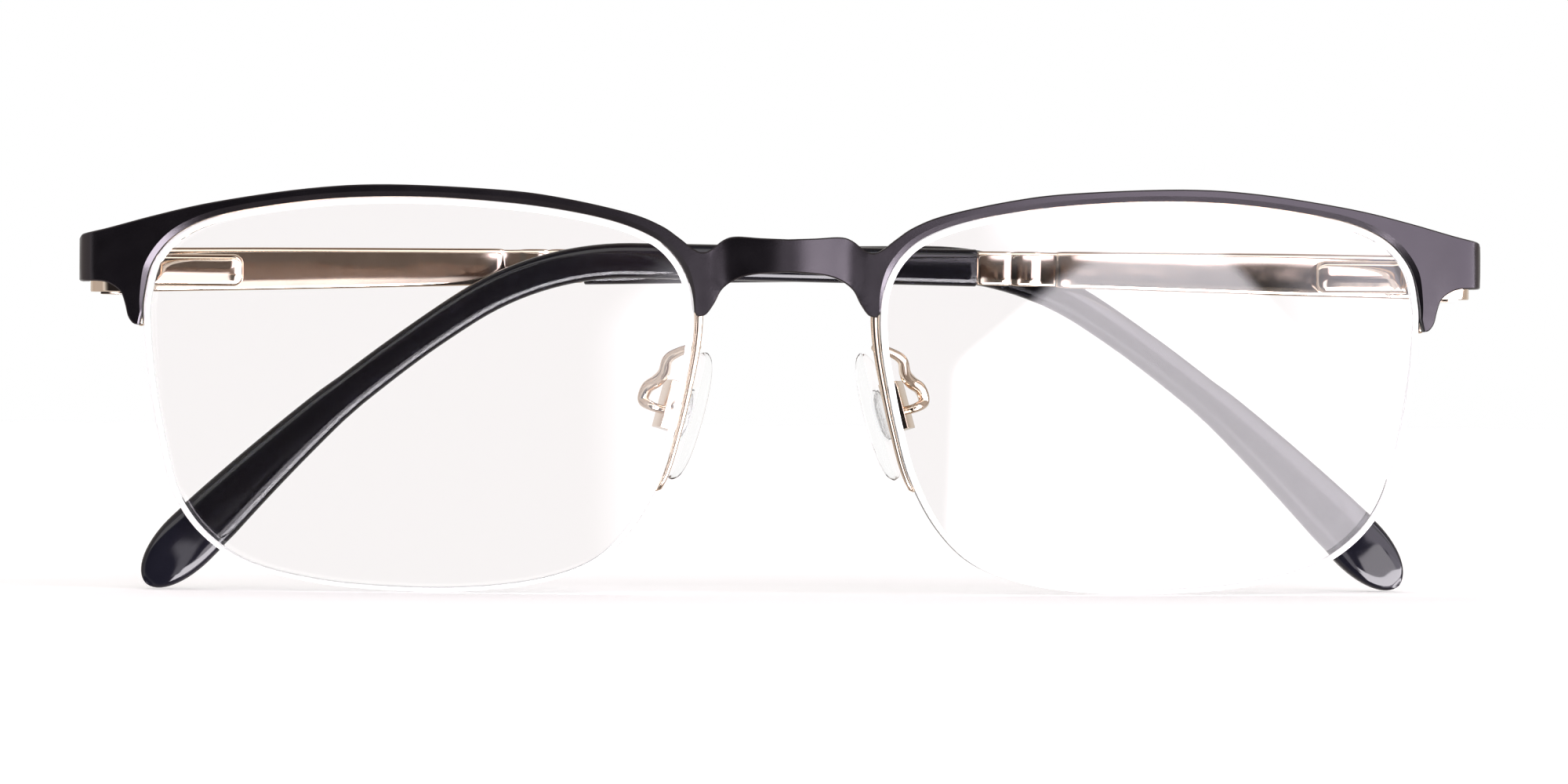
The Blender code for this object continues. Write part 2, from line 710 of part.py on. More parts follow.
def temple_tip(name, side, pivot):
    """The black sleeve: its bore first, then its mouth, and then its outside to the tip."""
    count = int((CORE_END - SLEEVE_START) / STATION_STEP)
    rings = []
    for k in range(count + 1):
        s = CORE_END + BORE_SPARE - (CORE_END - SLEEVE_START + BORE_SPARE) * k / count
        rings.append(temple_ring(side, s, core_section(CORE_RADIUS + CORE_GAP)))
    height, thickness = sleeve_size(SLEEVE_START)
    mouth = rounded_section(thickness - SLEEVE_MOUTH_INSET, height - SLEEVE_MOUTH_INSET,
                            SLEEVE_MOUTH_CORNER)
    rings.append(temple_ring(side, SLEEVE_START, mouth))
    full = int((TEMPLE_LENGTH - TIP_ROUND - SLEEVE_START) / STATION_STEP)
    stations = [SLEEVE_START + 2 * SLEEVE_MOUTH_INSET]
    stations += [SLEEVE_START + STATION_STEP * (k + 1) for k in range(full)]
    stations += [TEMPLE_LENGTH - TIP_ROUND * share for share in TIP_STATIONS]
    for s in stations:
        height, thickness = sleeve_size(s)
        sag = SLEEVE_SAG * max(0.0, between(s, SLEEVE_HALF_HEIGHTS) - SAG_ABOVE)
        section = rounded_section(thickness, height, SLEEVE_CORNER * min(height, thickness))
        rings.append(temple_ring(side, s, section, -sag))
    return skin(name, rings, "sleeve", pivot)


# Nose pads, in a frame on the axis of their screw: x points away from the nose on the left side
# and towards it on the right, y runs back along the screw, and z is up the pad.

def pad_turn(side):
    back = Vector((side * math.sin(PAD_SPLAY), math.cos(PAD_SPLAY), 0.0))
    up = Vector((-side * math.sin(PAD_SLOPE), 0.0, math.cos(PAD_SLOPE)))
    up = (up - back * up.dot(back)).normalized()
    return Matrix((back.cross(up), back, up)).transposed()


def pad_axis(side):
    """Where the screw's axis crosses the middle of the pad's box."""
    x, y, z = PAD_CENTRE
    reach = pad_turn(side) @ Vector((side * SCREW_REACH, 0.0, BOX_LIFT))
    return Vector((side * x, y - DEPTH_CENTRE, z)) + reach


def pad_outline(scale):
    """The pad's D shape: y back and z up, with a flatter front edge."""
    made = []
    for k in range(20):
        turn = math.tau * k / 20
        y = PAD_HALF_WIDTH * math.cos(turn) * (PAD_FRONT_SHARE if math.cos(turn) < 0 else 1.0)
        z = PAD_HALF_LENGTH * math.sin(turn)
        fuller = scale * (1.0 + PAD_SQUARENESS * math.sin(2 * turn) ** 2)
        made.append((y * fuller, z * fuller))
    return made


def pad_ring(side, depth, scale):
    """The pad's outline at a depth from its middle, away from the nose where positive."""
    x = side * (depth - SCREW_REACH)
    return [(x, y, z - BOX_LIFT) for y, z in pad_outline(scale)]


def nose_pad(name, side, pivot):
    """A soft crowned pad, from the face on the nose to the recess in its back."""
    levels = PAD_CROWN + [(PAD_THICKNESS / 2, RECESS_SCALE), (0.0, RECESS_SCALE)]
    rings = [pad_ring(side, depth, scale) for depth, scale in levels]
    return skin(name, rings, "silicone", pivot)


def box_between(name, side, near, far, half_width, half_height):
    """A block square to the pad, between two distances from the pad's middle."""
    xs = sorted((side * (near - SCREW_REACH), side * (far - SCREW_REACH)))
    return block(name, (xs[0], -half_width, -half_height), (xs[1], half_width, half_height))


def screw_hole(name):
    return rod(name, (0.0, -3.0, 0.0), (0.0, 3.0, 0.0), PAD_HOLE_RADIUS, 12)


def pad_core(name, side, pivot):
    """The insert in the pad's back, with the tab that the screw passes through."""
    rings = [pad_ring(side, depth, CORE_SCALE) for depth in (FIT_GAP, PAD_THICKNESS / 2)]
    core = skin(name, rings, "silicone", pivot)
    tab = box_between(name + "_tab", side, TAB_START, TAB_REACH, TAB_HALF_WIDTH, TAB_HALF_HEIGHT)
    hole = screw_hole(name + "_hole")
    tab.parent = pivot
    hole.parent = pivot
    cut(core, tab, operation="UNION")
    cut(core, hole)
    return core


def pad_box(name, side, pivot):
    """The small box that holds the tab, open towards the pad."""
    near = PAD_THICKNESS / 2 + BOX_GAP
    box = box_between(name, side, near, BOX_BACK, BOX_WIDTH / 2, BOX_HEIGHT / 2)
    box.users_collection[0].objects.unlink(box)
    PARTS.objects.link(box)
    box.data.materials.append(finish_of(name, "gold"))
    pocket = box_between(name + "_pocket", side, near - 1.0, POCKET_BACK,
                         TAB_HALF_WIDTH + FIT_GAP, BOX_HEIGHT / 2 - BOX_WALL)
    hole = screw_hole(name + "_hole")
    for thing in (box, pocket, hole):
        thing.parent = pivot
    cut(box, pocket, hole)
    return box


def pad_screw(name, side, pivot):
    """The screw through box and tab, with its head to the front."""
    seat = BOX_WIDTH / 2 + SCREW_SEAT
    top = seat + PAD_SCREW_HEIGHT
    profile = [(0.0, top), (PAD_SCREW_HEAD - PAD_SCREW_CHAMFER, top),
               (PAD_SCREW_HEAD, top - PAD_SCREW_CHAMFER), (PAD_SCREW_HEAD, seat),
               (PAD_SCREW_RADIUS, seat), (PAD_SCREW_RADIUS, -seat), (0.0, -seat)]
    screw = turned(name, profile, "steel", pivot, steps=12)
    screw.rotation_euler = (math.pi / 2, 0.0, 0.0)
    return screw


def pad_arm(name, side):
    """The bent wire from the back of the eyewire round to the back of the box."""
    turn, axis = pad_turn(side), pad_axis(side)
    root = offset(lens_loop(), FIT_GAP + EYEWIRE_RADIUS)[ARM_ROOT_POINT]
    route = [form(side * root.x, GROOVE_DEPTH + EYEWIRE_RADIUS + ARM_RADIUS + FIT_GAP, root.y)]
    route += [form(side * across, depth, up) for across, depth, up in ARM_ROUTE]
    reach = BOX_BACK - SCREW_REACH + ARM_GAP
    for beyond in (ARM_STRAIGHT, 0.0):
        route.append(axis + turn @ Vector((side * (reach + beyond), 0.0, ARM_LEVEL)))
    points = spline([tuple(p) for p in route], 3)
    return wire(name, points, [ARM_RADIUS] * len(points), "gold")


def front_side(word, side):
    eyewire("eyewire_" + word, side)
    groove_wire("rim_liner_" + word, side, 1, RIM_END - 1, "nylon")
    groove_wire("lens_cord_" + word, side, RIM_END, len(lens_loop()), "nylon")
    lens("lens_" + word, side)
    endpiece("endpiece_" + word, side)
    front_hinge("front_hinge_" + word, side)
    hinge_screw("hinge_screw_" + word, side)


def pad_side(word, side):
    pivot = empty("pad_axis_" + word, pad_axis(side), pad_turn(side))
    nose_pad("nose_pad_" + word, side, pivot)
    pad_core("pad_core_" + word, side, pivot)
    pad_box("pad_box_" + word, side, pivot)
    pad_screw("pad_screw_" + word, side, pivot)
    pad_arm("pad_arm_" + word, side)


def temple_side(word, side):
    turn = Matrix.Rotation(math.radians(FOLD_TOE), 3, "Z")
    pivot = empty("fold_axis_" + word, (side * HINGE_X, HINGE_Y - DEPTH_CENTRE, 0.0), turn)
    hinge_slider("hinge_slider_" + word, side, pivot)
    slider_nut("slider_nut_" + word, side, pivot)
    hinge_spring("hinge_spring_" + word, side, pivot)
    spring_housing("spring_housing_" + word, side, pivot)
    temple_bar("temple_bar_" + word, side, pivot)
    temple_tip("temple_tip_" + word, side, pivot)


PARTS, CUTTERS = start_scene()
brow_plate()
for side_name, side_sign in SIDES.items():
    front_side(side_name, side_sign)
    pad_side(side_name, side_sign)
    temple_side(side_name, side_sign)
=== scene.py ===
"""Looks of the half rim eyeglasses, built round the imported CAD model.

Sizes are in millimetres, in the CAD's own frame, and MM turns them into metres. X runs along the
front with the wearer's left at +X, the front faces -Y, and Z is up.
"""

import json
import math

import bmesh
import bpy
import numpy as np
from mathutils import Matrix, Vector
from mathutils.geometry import delaunay_2d_cdt

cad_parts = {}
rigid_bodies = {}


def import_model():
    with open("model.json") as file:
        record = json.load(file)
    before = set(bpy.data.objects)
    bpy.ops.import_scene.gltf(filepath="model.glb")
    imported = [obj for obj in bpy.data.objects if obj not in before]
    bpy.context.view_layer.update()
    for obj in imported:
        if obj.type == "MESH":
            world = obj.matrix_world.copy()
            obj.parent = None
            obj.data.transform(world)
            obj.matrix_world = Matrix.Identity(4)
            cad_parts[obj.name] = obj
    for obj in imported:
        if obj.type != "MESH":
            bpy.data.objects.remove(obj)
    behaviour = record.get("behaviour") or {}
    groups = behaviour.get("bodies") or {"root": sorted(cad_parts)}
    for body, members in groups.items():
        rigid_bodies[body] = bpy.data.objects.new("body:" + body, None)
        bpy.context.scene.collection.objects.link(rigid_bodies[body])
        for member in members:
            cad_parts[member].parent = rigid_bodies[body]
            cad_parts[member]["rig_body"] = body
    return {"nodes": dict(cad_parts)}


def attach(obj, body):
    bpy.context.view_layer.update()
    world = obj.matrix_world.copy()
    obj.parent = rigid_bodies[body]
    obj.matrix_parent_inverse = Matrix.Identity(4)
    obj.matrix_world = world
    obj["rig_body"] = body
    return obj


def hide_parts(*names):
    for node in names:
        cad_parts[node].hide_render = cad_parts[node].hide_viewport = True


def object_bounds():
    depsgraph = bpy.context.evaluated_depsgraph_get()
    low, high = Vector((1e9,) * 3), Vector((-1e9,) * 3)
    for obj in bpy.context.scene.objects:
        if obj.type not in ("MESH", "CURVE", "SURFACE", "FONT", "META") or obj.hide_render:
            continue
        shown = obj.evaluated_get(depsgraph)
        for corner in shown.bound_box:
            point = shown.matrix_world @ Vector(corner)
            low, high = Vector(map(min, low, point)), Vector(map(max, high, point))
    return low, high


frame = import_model()
CAD_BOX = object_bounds()

MM = 0.001
SIDES = {"left": 1, "right": -1}

# The CAD's dimensions that the looks follow: the curved front
FRONT_RADIUS = 250.0
RISE_RADIUS = 250.0
RISE_CENTRE = 19.5
LEAN = math.tan(math.radians(5.0))
BEND_START = 67.6
BEND_RADIUS = 2.3
SQUARE_FROM = 63.5
DEPTH_CENTRE = 11.52
PLATE_THICKNESS = 0.9
LENS_FRONT = 0.45
LENS_BACK = 2.35
LENS_BEVEL = (0.15, 0.12)
GROOVE_DEPTH = 1.4
GROOVE_HALF_WIDTH = 0.27
GROOVE_CUT = 0.55
EYEWIRE_RADIUS = 0.45
EYEWIRE_END_RADIUS = 0.27
EYEWIRE_HOOK = [(0.75, -0.95, 1.75), (0.45, -0.85, 1.45)]
CORD_RADIUS = 0.2
CORD_INSET = 0.3
FIT_GAP = 0.06
RIM_GAP = 0.08
LENS_CENTRE = (36.0, 19.5)
RIM_POINTS = [
    (12.2, 11.3), (10.8, 16.2), (9.95, 20.2), (9.3, 24.1), (9.15, 27.4), (9.6, 30.1), (10.9, 32.6),
    (13.2, 34.6), (17.5, 36.25), (24.0, 37.5), (31.1, 38.2), (37.8, 38.45), (44.5, 38.25),
    (51.0, 37.5), (56.2, 36.45), (59.8, 34.75), (62.0, 32.2), (62.8, 29.2), (62.95, 26.3),
]
RIMLESS_POINTS = [
    (62.45, 20.6), (61.4, 14.6), (60.0, 9.3), (57.2, 5.3), (52.7, 2.4), (46.0, 0.75),
    (38.5, 0.09), (31.0, 0.09), (24.0, 0.95), (18.6, 2.9), (14.9, 6.4),
]
PRONG_POINT = 4
BROW_TOP = [
    (0.0, 34.5), (2.6, 34.6), (5.1, 34.75), (6.3, 34.4), (7.4, 33.55), (8.3, 33.2), (9.3, 33.6),
    (10.6, 34.6), (12.4, 35.8),
    (15.5, 37.0), (21.8, 38.4), (28.0, 39.2), (38.9, 39.7), (46.8, 39.3), (55.9, 38.0),
    (62.2, 36.6), (67.0, 35.3), (69.5, 34.85),
]
ENDPIECE_UNDERSIDE = [
    (69.5, 30.25), (67.0, 30.2), (65.9, 29.8), (65.1, 29.1), (64.7, 28.0), (64.4, 26.8),
    (63.9, 26.1), (63.35, 25.95),
]
BRIDGE_UNDERSIDE = [
    (8.7, 26.95), (7.9, 27.2), (7.1, 28.3), (6.4, 29.6), (5.2, 30.5), (3.4, 31.05), (0.0, 31.3),
]
WING_TOP = 34.55
WING_BOTTOM = 30.25
WING_CORNER = 0.5

# Hinges, temples and spring housings
HINGE_X = 66.0
HINGE_Y = 15.4
HINGE_Z = 31.5
FOLD_TOE = 1.5
HINGE_LOW = 29.0
HINGE_HIGH = 34.0
SCREW_RADIUS = 0.55
SCREW_HEAD_RADIUS = 1.0
SCREW_HEAD_HEIGHT = 0.45
SEAT_GAP = 0.03
SLOT_TURN = math.radians(35.0)
BAR_INNER = 2.1
BAR_THICKNESS = 1.2
SLEEVE_START = 46.5
SLEEVE_CENTRE = BAR_INNER + BAR_THICKNESS / 2
SLEEVE_DEPTHS = [(46.5, 1.05), (60.0, 1.15), (100.0, 1.25), (140.0, 1.5)]
CORE_RADIUS = 0.6
CORE_GAP = 0.1
CORE_END = 118.0
CORE_END_GAP = 0.4
TEMPLE_RISE = math.radians(0.85)
TEMPLE_ARCS = [(80.5, 0.0), (17.7, 33.85), (10.0, 4.5), (31.9, 7.4)]
TEMPLE_LENGTH = sum(length for length, turn in TEMPLE_ARCS)
SLEEVE_HALF_HEIGHTS = [(46.5, 1.85), (62.0, 1.8), (80.0, 1.75), (104.0, 1.7), (112.0, 1.8),
                       (122.0, 2.35), (130.0, 2.8), (140.1, 3.05)]
SLEEVE_SAG = 0.8
SAG_ABOVE = 1.95
TIP_ROUND = 6.5
SLEEVE_MOUTH = [(0.0, 0.22), (0.03, 0.12), (0.1, 0.04), (0.2, 0.0)]
HOUSING_START = 3.7
HOUSING_END = 12.8
HOUSING_HALF_HEIGHT = 1.6
HOUSING_INNER = 0.12
HOUSING_OUTER = 2.04
HOUSING_CORNER = 1.0
HOUSING_CROWN = [(0.62, 0.0), (0.45, 0.03), (0.3, 0.1), (0.19, 0.22), (0.12, 0.4), (0.06, 0.7),
                 (0.02, 1.05), (0.0, 1.4)]
SLIDE_AXIS_W = 1.08
ROD_RADIUS = 0.36
NUT_RADIUS = 0.6
BORE_WIDE = 0.7
BORE_NARROW = 0.42
COLLAR_END = 4.5
BORE_END = 12.0
NUT_START = 10.3
NUT_END = 11.3
SPRING_WIRE = 0.09
SPRING_RADIUS = 0.53
SPRING_TURNS = 9
SPRING_GAP = 0.05
TURN_POINTS = 20
NUT_EDGE = 0.05

# Nose pads
PAD_CENTRE = (9.3, 9.6, 17.3)
PAD_SPLAY = math.radians(22.0)
PAD_SLOPE = math.radians(17.0)
PAD_HALF_LENGTH = 6.5
PAD_HALF_WIDTH = 3.6
PAD_THICKNESS = 1.5
BOX_LIFT = 0.5
BOX_BACK = 3.1
BOX_WIDTH = 2.2
SCREW_REACH = 1.9
RECESS_SCALE = 0.42
PAD_LEVELS = [
    (-1.15, 0.1), (-1.13, 0.3), (-1.05, 0.55), (-0.9, 0.75), (-0.65, 0.89), (-0.35, 0.97),
    (0.0, 1.0), (0.35, 0.985), (0.65, 0.93), (0.88, 0.84), (1.0, 0.72), (1.0, RECESS_SCALE + 0.03),
    (0.9, RECESS_SCALE), (0.0, RECESS_SCALE),
]
PAD_SCREW_RADIUS = 0.34
PAD_SCREW_HEAD = 0.58
PAD_SCREW_HEIGHT = 0.4
ARM_RADIUS = 0.42
ARM_LEVEL = -0.6
ARM_STRAIGHT = 1.0
ARM_SUNK = -0.1
ARM_SWELL = 0.4  # how much thicker the wire gets on its way to the box
ARM_ROOT_POINT = 3
ARM_ROUTE = [
    (9.3, 3.6, 24.0), (10.6, 4.5, 23.6), (11.7, 5.2, 22.9), (12.1, 6.0, 21.6), (12.8, 6.8, 20.8),
    (13.8, 7.4, 20.1), (14.2, 7.6, 18.9),
]

# How fine the visible surfaces are
RIM_STEPS = 8
PLATE_SPAN = (26.5, 39.5)
PLATE_GRID = 1.0
BEND_GRID = 0.35
SECTION_POINTS = 56
TEMPLE_STEP = 1.2
CORE_STEPS = 35

# Details of the looks
CHAMFER_WIDTH = 0.5
CHAMFER_DEPTH = 0.3
CHAMFER_BLEND = 12
EDGE_WIDTH = 0.13
BRIDGE_RISE = 0.7
BRIDGE_REACH = 6.0
NECK_DIP = 0.2
NECK_AT = 6.4
NECK_WIDTH = 1.3
BAND_WIDTH = 0.6
BAND_NARROW = 0.34
BAND_BLEND = 16
BAND_SECTION = [(0.0, 0.58), (-1.0, 0.40), (-1.0, 0.46), (0.0, 0.75)]
BAR_POWER = 5.0
SLEEVE_POWER = 3.7


# Outlines and curves

def spline(points, steps, closed=False):
    """A smooth curve through the points, with this many steps between each two."""
    count = len(points)
    made = []
    for i in range(count if closed else count - 1):
        ring = [points[(i + k) % count] if closed else points[max(0, min(count - 1, i + k))]
                for k in (-1, 0, 1, 2)]
        a, b, c, d = (Vector(p) for p in ring)
        for k in range(steps):
            t = k / steps
            made.append(0.5 * (2 * b + (c - a) * t + (2 * a - 5 * b + 4 * c - d) * t * t
                               + (3 * b - a - 3 * c + d) * t * t * t))
    return made if closed else made + [Vector(points[-1])]


def offset(points, distances):
    """The closed outline moved outwards by a distance, or by one distance for each point."""
    if not hasattr(distances, "__len__"):
        distances = [distances] * len(points)
    moved = []
    for i, point in enumerate(points):
        along = (points[(i + 1) % len(points)] - points[i - 1]).normalized()
        moved.append(point + distances[i] * Vector((-along.y, along.x)))
    return moved


def between(value, table):
    """Straight-line value from a table of pairs."""
    for (a, low), (b, high) in zip(table, table[1:]):
        if value <= b:
            return low + (high - low) * max(0.0, value - a) / (b - a)
    return table[-1][1]


def circle(radius, count, centre=(0.0, 0.0)):
    turns = [math.tau * k / count for k in range(count)]
    return [(centre[0] + radius * math.cos(t), centre[1] + radius * math.sin(t)) for t in turns]


def squircle(half_width, half_height, power, count=SECTION_POINTS):
    """A box section with crowned sides and round corners, which a higher power makes squarer."""
    made = []
    for k in range(count):
        turn = math.tau * (k + 0.5) / count
        c, s = math.cos(turn), math.sin(turn)
        made.append((half_width * math.copysign(abs(c) ** (2 / power), c),
                     half_height * math.copysign(abs(s) ** (2 / power), s)))
    return made


def form(across, depth, up):
    """Where a point of the flat pattern lies on the formed front, across the front and up it."""
    side = -1.0 if across < 0 else 1.0
    across = abs(across)
    angle = math.asin(min(across, BEND_START) / FRONT_RADIUS)
    x = min(across, BEND_START)
    y = FRONT_RADIUS * (1.0 - math.cos(angle))
    past = max(0.0, across - BEND_START)
    turn = min(past / BEND_RADIUS, math.pi / 2 - angle)
    x += BEND_RADIUS * (math.sin(angle + turn) - math.sin(angle))
    y += BEND_RADIUS * (math.cos(angle) - math.cos(angle + turn)) + past - turn * BEND_RADIUS
    angle += turn
    square = min(1.0, max(0.0, (across - SQUARE_FROM) / (BEND_START - SQUARE_FROM)))
    curved = 1.0 - square * square * (3.0 - 2.0 * square)
    inward = depth + curved * (up - RISE_CENTRE) ** 2 / (2 * RISE_RADIUS)
    x -= inward * math.sin(angle)
    y += inward * math.cos(angle) + curved * (HINGE_Z - up) * LEAN
    return Vector((side * x, y - DEPTH_CENTRE, up))


LENS_LOOP = spline(RIM_POINTS + RIMLESS_POINTS, RIM_STEPS, closed=True)
RIM_END = (len(RIM_POINTS) - 1) * RIM_STEPS
WING_END = BEND_START + BEND_RADIUS * (math.pi / 2 - math.asin(BEND_START / FRONT_RADIUS))
WING_LENGTH = HINGE_Y - form(WING_END, 0.0, HINGE_Z).y - DEPTH_CENTRE
WING_REACH = WING_END + WING_LENGTH


# Solids

def add(name, mesh, finish, body, nodes=(), sharp=35.0):
    """A finished piece that rides on its body and stands for the CAD nodes."""
    mesh.shade_smooth()
    mesh.set_sharp_from_angle(angle=math.radians(sharp))
    thing = bpy.data.objects.new(name, mesh)
    bpy.context.scene.collection.objects.link(thing)
    mesh.materials.clear()
    mesh.materials.append(finish)
    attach(thing, body)
    if nodes:
        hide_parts(*nodes)
    return thing


def skin(name, rings, closed=False):
    """A mesh through rings of equal count, either capped at both ends or closed on itself."""
    mesh = bmesh.new()
    loops = [[mesh.verts.new(Vector(point) * MM) for point in ring] for ring in rings]
    follow = loops[1:] + loops[:1] if closed else loops[1:]
    for low, high in zip(loops, follow):
        for i in range(len(low)):
            j = (i + 1) % len(low)
            mesh.faces.new((low[i], low[j], high[j], high[i]))
    if not closed:
        mesh.faces.new(loops[0])
        mesh.faces.new(loops[-1])
    bmesh.ops.recalc_face_normals(mesh, faces=mesh.faces[:])
    data = bpy.data.meshes.new(name)
    mesh.to_mesh(data)
    mesh.free()
    return data


def tube(name, points, radii, count=20):
    """A round wire through the points, with a radius at each and a domed cap at both ends."""
    points = [Vector(p) for p in points]
    if not hasattr(radii, "__len__"):
        radii = [radii] * len(points)
    along = [(points[min(i + 1, len(points) - 1)] - points[max(i - 1, 0)]).normalized()
             for i in range(len(points))]
    across = along[0].orthogonal().normalized()
    rings = []
    for i, (point, way, radius) in enumerate(zip(points, along, radii)):
        across = (across - way * across.dot(way)).normalized()
        up = way.cross(across)
        ring = [(math.cos(t) * across + math.sin(t) * up)
                for t in (math.tau * k / count for k in range(count))]
        caps = []
        if i in (0, len(points) - 1):
            lean = -1.0 if i == 0 else 1.0
            caps = [(math.sin(a), lean * math.cos(a)) for a in (0.15, 0.5, 0.85, 1.2)]
        for share, reach in (caps if i == 0 else []):
            rings.append([point + radius * (share * r + reach * way) for r in ring])
        rings.append([point + radius * r for r in ring])
        for share, reach in (reversed(caps) if i else []):
            rings.append([point + radius * (share * r + reach * way) for r in ring])
    return skin(name, rings)


def turned(name, profile, place, count=48):
    """A profile of radius and height turned about an upright axis, moved by a matrix."""
    rings = [[place @ Vector((x, y, height)) for x, y in circle(max(radius, 0.004), count)]
             for radius, height in profile]
    return skin(name, rings)


def carve(mesh, *cutters):
    """The mesh less the cutter meshes."""
    helpers = []
    for data in (mesh, *cutters):
        thing = bpy.data.objects.new("carving", data)
        bpy.context.scene.collection.objects.link(thing)
        helpers.append(thing)
    for cutter in helpers[1:]:
        modifier = helpers[0].modifiers.new("cut", "BOOLEAN")
        modifier.object = cutter
        modifier.solver = "EXACT"
    graph = bpy.context.evaluated_depsgraph_get()
    result = bpy.data.meshes.new_from_object(helpers[0].evaluated_get(graph))
    for thing in helpers:
        bpy.data.objects.remove(thing, do_unlink=True)
    return result


def box_mesh(name, low, high, place=Matrix.Identity(4)):
    low, high = Vector(low), Vector(high)
    base = [(low.x, low.y), (high.x, low.y), (high.x, high.y), (low.x, high.y)]
    return skin(name, [[place @ Vector((x, y, z)) for x, y in base] for z in (low.z, high.z)])


def refined(name, node, finish, width, segments=3):
    """The CAD node's own shape with its edges rounded, standing for the node."""
    source = frame["nodes"][node]
    mesh = bmesh.new()
    mesh.from_mesh(source.data)
    bmesh.ops.remove_doubles(mesh, verts=mesh.verts[:], dist=1e-6)
    bmesh.ops.dissolve_limit(mesh, angle_limit=math.radians(1.0), verts=mesh.verts[:],
                             edges=mesh.edges[:])
    edges = [e for e in mesh.edges if e.calc_face_angle(0.0) > math.radians(40.0)]
    bmesh.ops.bevel(mesh, geom=edges, offset=width * MM, segments=segments, affect="EDGES",
                    profile=0.5, clamp_overlap=True)
    data = bpy.data.meshes.new(name)
    mesh.to_mesh(data)
    mesh.free()
    return add(name, data, finish, source["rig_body"], [node], sharp=50.0)


# Materials

def shader_of(name, **values):
    """A material with its Principled shader's sockets set, and that shader."""
    made = bpy.data.materials.new(name)
    made.use_nodes = True
    shader = made.node_tree.nodes["Principled BSDF"]
    for socket, value in values.items():
        shader.inputs[socket.replace("_", " ")].default_value = value
    return made, shader


def noise(tree, scale, detail=3.0, stretch=(1.0, 1.0, 1.0)):
    """Noise in the object's own space, with its scale in features a metre."""
    place = tree.nodes.new("ShaderNodeTexCoord")
    mapping = tree.nodes.new("ShaderNodeMapping")
    mapping.inputs["Scale"].default_value = stretch
    texture = tree.nodes.new("ShaderNodeTexNoise")
    texture.inputs["Scale"].default_value = scale
    texture.inputs["Detail"].default_value = detail
    tree.links.new(place.outputs["Object"], mapping.inputs["Vector"])
    tree.links.new(mapping.outputs["Vector"], texture.inputs["Vector"])
    return texture.outputs["Fac"]


def ranged(tree, value, low, high):
    """The value from 0 to 1 spread between two others."""
    node = tree.nodes.new("ShaderNodeMapRange")
    node.inputs["From Min"].default_value = 0.3
    node.inputs["From Max"].default_value = 0.7
    node.inputs["To Min"].default_value = low
    node.inputs["To Max"].default_value = high
    tree.links.new(value, node.inputs["Value"])
    return node.outputs["Result"]


def bump(tree, shader, height, distance, strength=1.0):
    node = tree.nodes.new("ShaderNodeBump")
    node.inputs["Strength"].default_value = strength
    node.inputs["Distance"].default_value = distance
    tree.links.new(height, node.inputs["Height"])
    tree.links.new(node.outputs["Normal"], shader.inputs["Normal"])


def tinted(tree, shader, value, dark, light):
    """Base colour that wanders a little between two tints."""
    ramp = tree.nodes.new("ShaderNodeMix")
    ramp.data_type = "RGBA"
    ramp.inputs["A"].default_value = (*dark, 1.0)
    ramp.inputs["B"].default_value = (*light, 1.0)
    tree.links.new(value, ramp.inputs["Factor"])
    tree.links.new(ramp.outputs["Result"], shader.inputs["Base Color"])


def satin_black():
    made, shader = shader_of("satin_black", Specular_IOR_Level=0.8,
                             Specular_Tint=(0.96, 0.88, 0.98, 1.0))
    tree = made.node_tree
    tinted(tree, shader, noise(tree, 900.0), (0.001, 0.0008, 0.0012), (0.002, 0.0017, 0.0023))
    tree.links.new(ranged(tree, noise(tree, 300.0), 0.2, 0.25), shader.inputs["Roughness"])
    bump(tree, shader, noise(tree, 6000.0, 2.0), 0.000004)
    return made


def polished_gold():
    made, shader = shader_of("polished_gold", Metallic=1.0)
    tree = made.node_tree
    tinted(tree, shader, noise(tree, 120.0), (0.85, 0.71, 0.585), (0.88, 0.745, 0.62))
    tree.links.new(ranged(tree, noise(tree, 700.0), 0.05, 0.09), shader.inputs["Roughness"])
    bump(tree, shader, noise(tree, 130.0, 1.0, (1.0, 1.0, 2.0)), 0.00005)
    return made


def steel():
    made, shader = shader_of("turned_steel", Metallic=1.0)
    tree = made.node_tree
    tinted(tree, shader, noise(tree, 800.0), (0.62, 0.60, 0.58), (0.70, 0.68, 0.66))
    tree.links.new(ranged(tree, noise(tree, 2500.0), 0.16, 0.28), shader.inputs["Roughness"])
    bump(tree, shader, noise(tree, 9000.0, 2.0), 0.000004)
    return made


def glossy_black():
    made, shader = shader_of("glossy_black", Specular_IOR_Level=0.5)
    tree = made.node_tree
    tinted(tree, shader, noise(tree, 200.0), (0.004, 0.004, 0.007), (0.006, 0.006, 0.009))
    tree.links.new(ranged(tree, noise(tree, 400.0), 0.06, 0.1), shader.inputs["Roughness"])
    bump(tree, shader, noise(tree, 250.0, 2.0), 0.00001)
    return made


def lens_glass():
    made, shader = shader_of("lens_glass", Base_Color=(0.995, 0.997, 0.998, 1.0), Roughness=0.0,
                             IOR=1.6, Transmission_Weight=1.0)
    tree = made.node_tree
    bump(tree, shader, noise(tree, 25.0, 0.0), 0.000002)
    return made


def ground_edge_painted_glow():
    # Its emission is painted light: the ground white bevel glows though it is no lamp.
    made, shader = shader_of("ground_edge_painted_glow", Specular_IOR_Level=0.4,
                             Emission_Color=(1.0, 0.98, 0.98, 1.0), Emission_Strength=0.25)
    tree = made.node_tree
    tinted(tree, shader, noise(tree, 1500.0), (0.86, 0.85, 0.85), (0.93, 0.92, 0.92))
    tree.links.new(ranged(tree, noise(tree, 3000.0), 0.35, 0.5), shader.inputs["Roughness"])
    return made


def nylon():
    # Its emission is painted light: the white cord and liner glow though they are no lamp.
    made, shader = shader_of("nylon", Specular_IOR_Level=0.5,
                             Emission_Color=(1.0, 1.0, 1.0, 1.0), Emission_Strength=0.25)
    tree = made.node_tree
    tinted(tree, shader, noise(tree, 2000.0), (0.84, 0.84, 0.83), (0.92, 0.92, 0.91))
    tree.links.new(ranged(tree, noise(tree, 900.0), 0.2, 0.32), shader.inputs["Roughness"])
    return made


